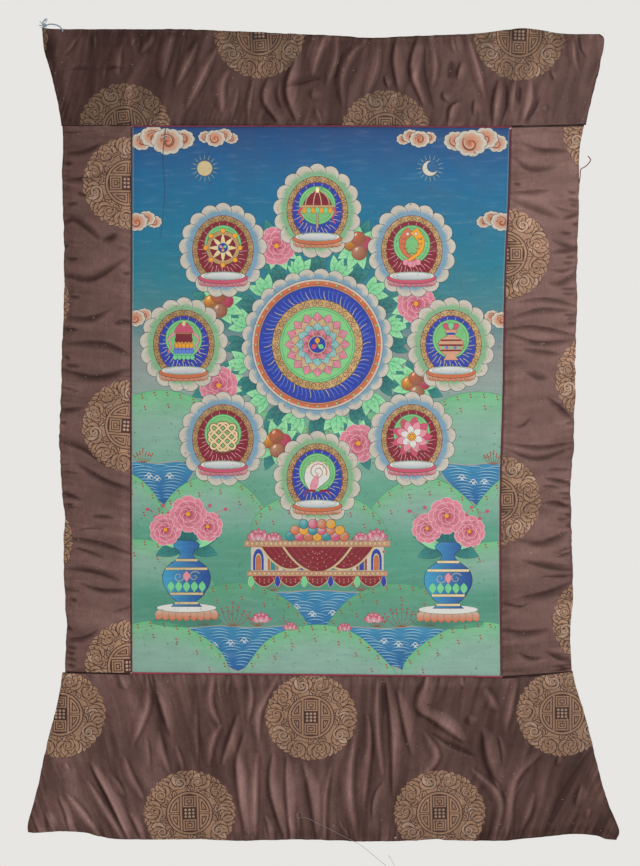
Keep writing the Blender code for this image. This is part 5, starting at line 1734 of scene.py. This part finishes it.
def smoothRoute(points, step):
    # a smooth line through points in space
    points = [Vector(point) for point in points]
    points = [points[0] * 2 - points[1]] + points + [points[-1] * 2 - points[-2]]
    route = []
    for place in range(1, len(points) - 2):
        before, start, end, after = points[place - 1:place + 3]
        count = max(2, round((end - start).length / step))
        for part in np.arange(count) / count:
            route.append(bentBetween(before, start, end, after, part))
    return [tuple(point) for point in route + [points[-2]]]


# Piping: dark red, sewn round the painting

piping = {"radius": 1.0, "depth": 2.1, "waver": 0.1, "step": 3.0, "cornerGap": 0.35}


def buildPiping():
    for side in ("top", "bottom", "left", "right"):
        line = smoothLine(seams[side], piping["step"])
        if side in ("left", "right"):
            line[[0, -1]] += (line[[1, -2]] - line[[0, -1]]) * piping["cornerGap"]
        path = [(x + dice.uniform(-1, 1) * piping["waver"], -piping["depth"],
            z + dice.uniform(-1, 1) * piping["waver"]) for x, z in line]
        piece = madeAlong("piping" + side.capitalize(), [path], sweepTree, pipingMaterials[side],
            {"Radius": piping["radius"]})
        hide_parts("piping_" + side)


buildPiping()

# Stitches, and ends of white thread

sewing = {
    "inset": 2.3, "hem": {"Radius": 0.24, "Half Length": 0.85, "Step": 3.1, "Tilt": 0.12},
    "piping": {"Radius": 0.16, "Half Length": 0.6, "Step": 2.4, "Tilt": 0.5}, "whiteRadius": 0.3,
    # x, z and depth of each end of white thread
    "whiteEnds": [(208.3, -108.6, 3.0), (311.0, -4.0, 4.6), (82.0, -888.4, 3.0)],
}


def hemRuns(panel, depthAt, inset):
    # lines on the cloth a little inside the panel's edge, along its free sides
    ring, lines = panelOutline(panel)
    inner = swell(ring, -inset)
    sewn = [lineDistance(inner[:, 0], inner[:, 1], lines[side])[0] for side in panel["seamed"]]
    close = np.min(sewn, axis=0) < inset + 1.5
    depth = depthAt(inner[:, 0], inner[:, 1]) + brocade["thick"]
    runs = [[]]
    for (x, z), y, isSewn in zip(inner, depth, close):
        if not isSewn:
            runs[-1].append((x, -y - 0.02, z))
        elif runs[-1]:
            runs.append([])
    return [run for run in runs if len(run) > 2]


def buildStitches():
    hems, sewn = [], []
    for panel, depthAt in ((topPanel, topDepth), (leftPanel, leftDepth), (rightPanel, rightDepth),
            (bottomPanel, bottomDepth)):
        hems += hemRuns(panel, depthAt, sewing["inset"])
    madeAlong("hemStitches", hems, stitchTree, brownThread, sewing["hem"])
    for side in ("top", "bottom", "left", "right"):
        line = smoothLine(seams[side], 4.0)
        sewn.append([(x, -piping["depth"] - piping["radius"], z) for x, z in line[1:-1]])
    madeAlong("pipingStitches", sewn, stitchTree, redThread, sewing["piping"])
    ends = []
    for x, z, y in sewing["whiteEnds"]:
        ends += twisted([(x - 1, -y, z - 0.4), (x, -y - 0.4, z + 0.1), (x + 0.9, -y, z + 0.5)], 2, 0.25,
            3.0)
    madeAlong("whiteThreadEnds", ends, sweepTree, whiteThread, {"Radius": sewing["whiteRadius"]})


buildStitches()

# The tie: grey-blue string over the top left corner, knotted, with frayed ends

tie = {
    "route": [(-284.0, -5.2, -2.2), (-284.6, -5.4, 0.6), (-288.0, -5.0, 3.9), (-293.0, -4.4, 5.8),
    (-298.5, -4.0, 6.1), (-303.8, -3.8, 4.6), (-305.9, -3.8, 6.4), (-305.2, -3.9, 9.2),
    (-302.4, -4.0, 12.0)],
    "radius": 0.8, "strands": 3, "strandRadius": 0.43, "pitch": 4.2, "knot": (-304.0, -3.8, 4.6),
    "knotReach": 2.1, "knotRadius": 0.42, "knotOffset": 0.34, "knotPitch": 3.9, "frayRadius": 0.13,
    # x, z where each tuft of fibres ends
    "tufts": [(-309.4, 8.6), (-308.2, 1.4), (-301.2, 12.2), (-310.2, 4.6)],
}


def declareCord(piece, start, route, radius, **others):
    # the cord's start turned from millimetres into metres, and nothing more
    tuple(np.array(start) * mm)


def buildTie():
    route = smoothRoute(tie["route"], 0.5)
    offset = tie["radius"] - tie["strandRadius"]
    cord = madeAlong("tieCord", twisted(route, tie["strands"], offset, tie["pitch"]), sweepTree,
        stringMaterial, {"Radius": tie["strandRadius"]})
    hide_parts("tie_cord")
    x, y, z = tie["knot"]
    loops = []
    for part in np.linspace(0, fullTurn, 73):  # a trefoil drawn tight
        reach = tie["knotReach"] * (0.62 + 0.3 * math.cos(3 * part))
        loops.append((x + reach * math.cos(2 * part), y - 0.5 - 0.75 * math.sin(3 * part),
            z + reach * math.sin(2 * part)))
    loops = twisted(loops, tie["strands"], tie["knotOffset"], tie["knotPitch"])
    knot = madeAlong("tieKnot", loops, sweepTree, stringMaterial, {"Radius": tie["knotRadius"]})
    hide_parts("tie_knot")
    fibres = []
    for endX, endZ in tie["tufts"]:
        for _ in range(5):
            tipX, tipZ = endX + dice.uniform(-1.1, 1.1), endZ + dice.uniform(-1.1, 1.1)
            bendX, bendZ = (x + tipX) / 2 + dice.uniform(-0.7, 0.7), (z + tipZ) / 2 + dice.uniform(-0.7,
                0.7)
            fibres.append(smoothRoute([(x, y - 0.4, z), (bendX, y - dice.uniform(0.2, 1.2), bendZ),
                (tipX, y - dice.uniform(-0.6, 1.4), tipZ)], 0.8))
    fray = madeAlong("tieFray", fibres, sweepTree, stringMaterial, {"Radius": tie["frayRadius"]})
    declareCord(cord, tie["route"][0], route, tie["radius"], with_pieces=[knot, fray])


buildTie()

# Loose sewing threads: x, depth and z along each

looseThreads = {
    "redEnd": {"radius": 0.55, "clear": 0.7, "cloth": rightDepth, "edge": lambda x, z: x < 286,
    "points": [(284.0, 3.6, -168.5), (284.9, 3.9, -161.0), (285.6, 4.0, -153.6), (289.6, 4.2, -151.0),
    (293.5, 4.8, -147.8), (295.8, 5.2, -144.6), (296.3, 5.4, -142.6), (295.2, 5.0, -141.0),
    (293.4, 4.2, -138.8)]}, "nylonEnd": {"radius": 0.2, "clear": 0.5, "cloth": bottomDepth,
    "edge": lambda x, z: z > -893, "points": [(-22.6, 6.2, -866.4), (-26.4, 6.6, -865.0),
    (-25.6, 7.0, -861.2), (-22.4, 7.2, -859.6), (-20.6, 7.0, -862.6), (-21.6, 6.8, -865.4),
    (-17.6, 6.6, -865.6), (-9.4, 6.6, -869.0), (-3.0, 6.8, -872.2), (4.8, 6.6, -876.0), (18.0, 6.4, -883.0),
    (33.0, 5.4, -890.6), (44.0, 4.8, -896.6), (56.0, 4.4, -906.2), (66.0, 4.0, -914.4), (71.6, 3.8, -919.4),
    (76.0, 3.8, -922.6), (79.6, 4.0, -922.8), (80.9, 4.2, -920.4), (79.4, 4.6, -916.6), (76.8, 5.2, -911.6),
    (74.2, 5.8, -907.2)]},
}


def buildLooseThreads():
    for name, material in (("redEnd", redThread), ("nylonEnd", nylonThread)):
        rule = looseThreads[name]
        route = []
        for x, y, z in smoothRoute([(x, -y, z) for x, y, z in rule["points"]], 1.2):
            over = rule["cloth"](np.array([x]), np.array([z]))[0] + brocade["thick"] + rule["clear"]
            route.append((x, min(y, -over) if rule["edge"](x, z) else y, z))
        piece = madeAlong(name, [route], sweepTree, material, {"Radius": rule["radius"]})
        declareCord(piece, route[0], route, rule["radius"])


buildLooseThreads()

# The stage

studio = {
    "keyPlace": (0.85, -2.5, -0.05), "keySize": 1.3, "keyPower": 46.0, "aim": (0.0, 0.0, -0.45),
    "backPlace": (-0.9, 2.4, 0.1), "backPower": 16.0, "fillStrength": 0.32, "backdrop": (0.80, 0.79, 0.77),
    "floorLevel": -1.22, "floorHalf": 1.15, "floorTone": (0.72, 0.71, 0.69, 1), "floorRoughness": 0.7,
    "fillTone": (1.0, 0.98, 0.96, 1),
}


def makeStudio():
    for name in ("key", "back"):
        light = bpy.data.lights.new(name + "Light", "AREA")
        light.shape, light.size, light.energy = "SQUARE", studio["keySize"], studio[name + "Power"]
        lamp = linked(name + "Light", light)
        lamp.location = studio[name + "Place"]
        toward = Vector(studio["aim"]) - Vector(studio[name + "Place"])
        lamp.rotation_euler = toward.to_track_quat("-Z", "Y").to_euler()

    world = bpy.data.worlds.new("studio")
    bpy.context.scene.world = world
    world.use_nodes = True
    tree = world.node_tree
    seen = node(tree, "ShaderNodeBackground", {"Color": (*studio["backdrop"], 1), "Strength": 1.0})
    soft = tree.nodes["Background"]
    soft.inputs["Color"].default_value = studio["fillTone"]
    soft.inputs["Strength"].default_value = studio["fillStrength"]
    path = node(tree, "ShaderNodeLightPath")
    both = node(tree, "ShaderNodeMixShader", {0: path.outputs["Is Camera Ray"], 1: soft.outputs[0],
        2: seen.outputs[0]})
    tree.links.new(both.outputs[0], tree.nodes["World Output"].inputs["Surface"])

    half = studio["floorHalf"]
    mesh = bpy.data.meshes.new("floor")
    mesh.from_pydata([(x * half, y * half, studio["floorLevel"]) for x,
        y in ((-2, -2), (2, -2), (2, 1), (-2, 1))], [], [(0, 1, 2, 3)])
    made, _, shader, _ = newMaterial("paleFloor", studio["floorRoughness"])
    shader.inputs["Base Color"].default_value = studio["floorTone"]
    mesh.materials.append(made)
    linked("floor", mesh)
    bpy.context.scene.view_settings.view_transform = "Standard"


makeStudio()
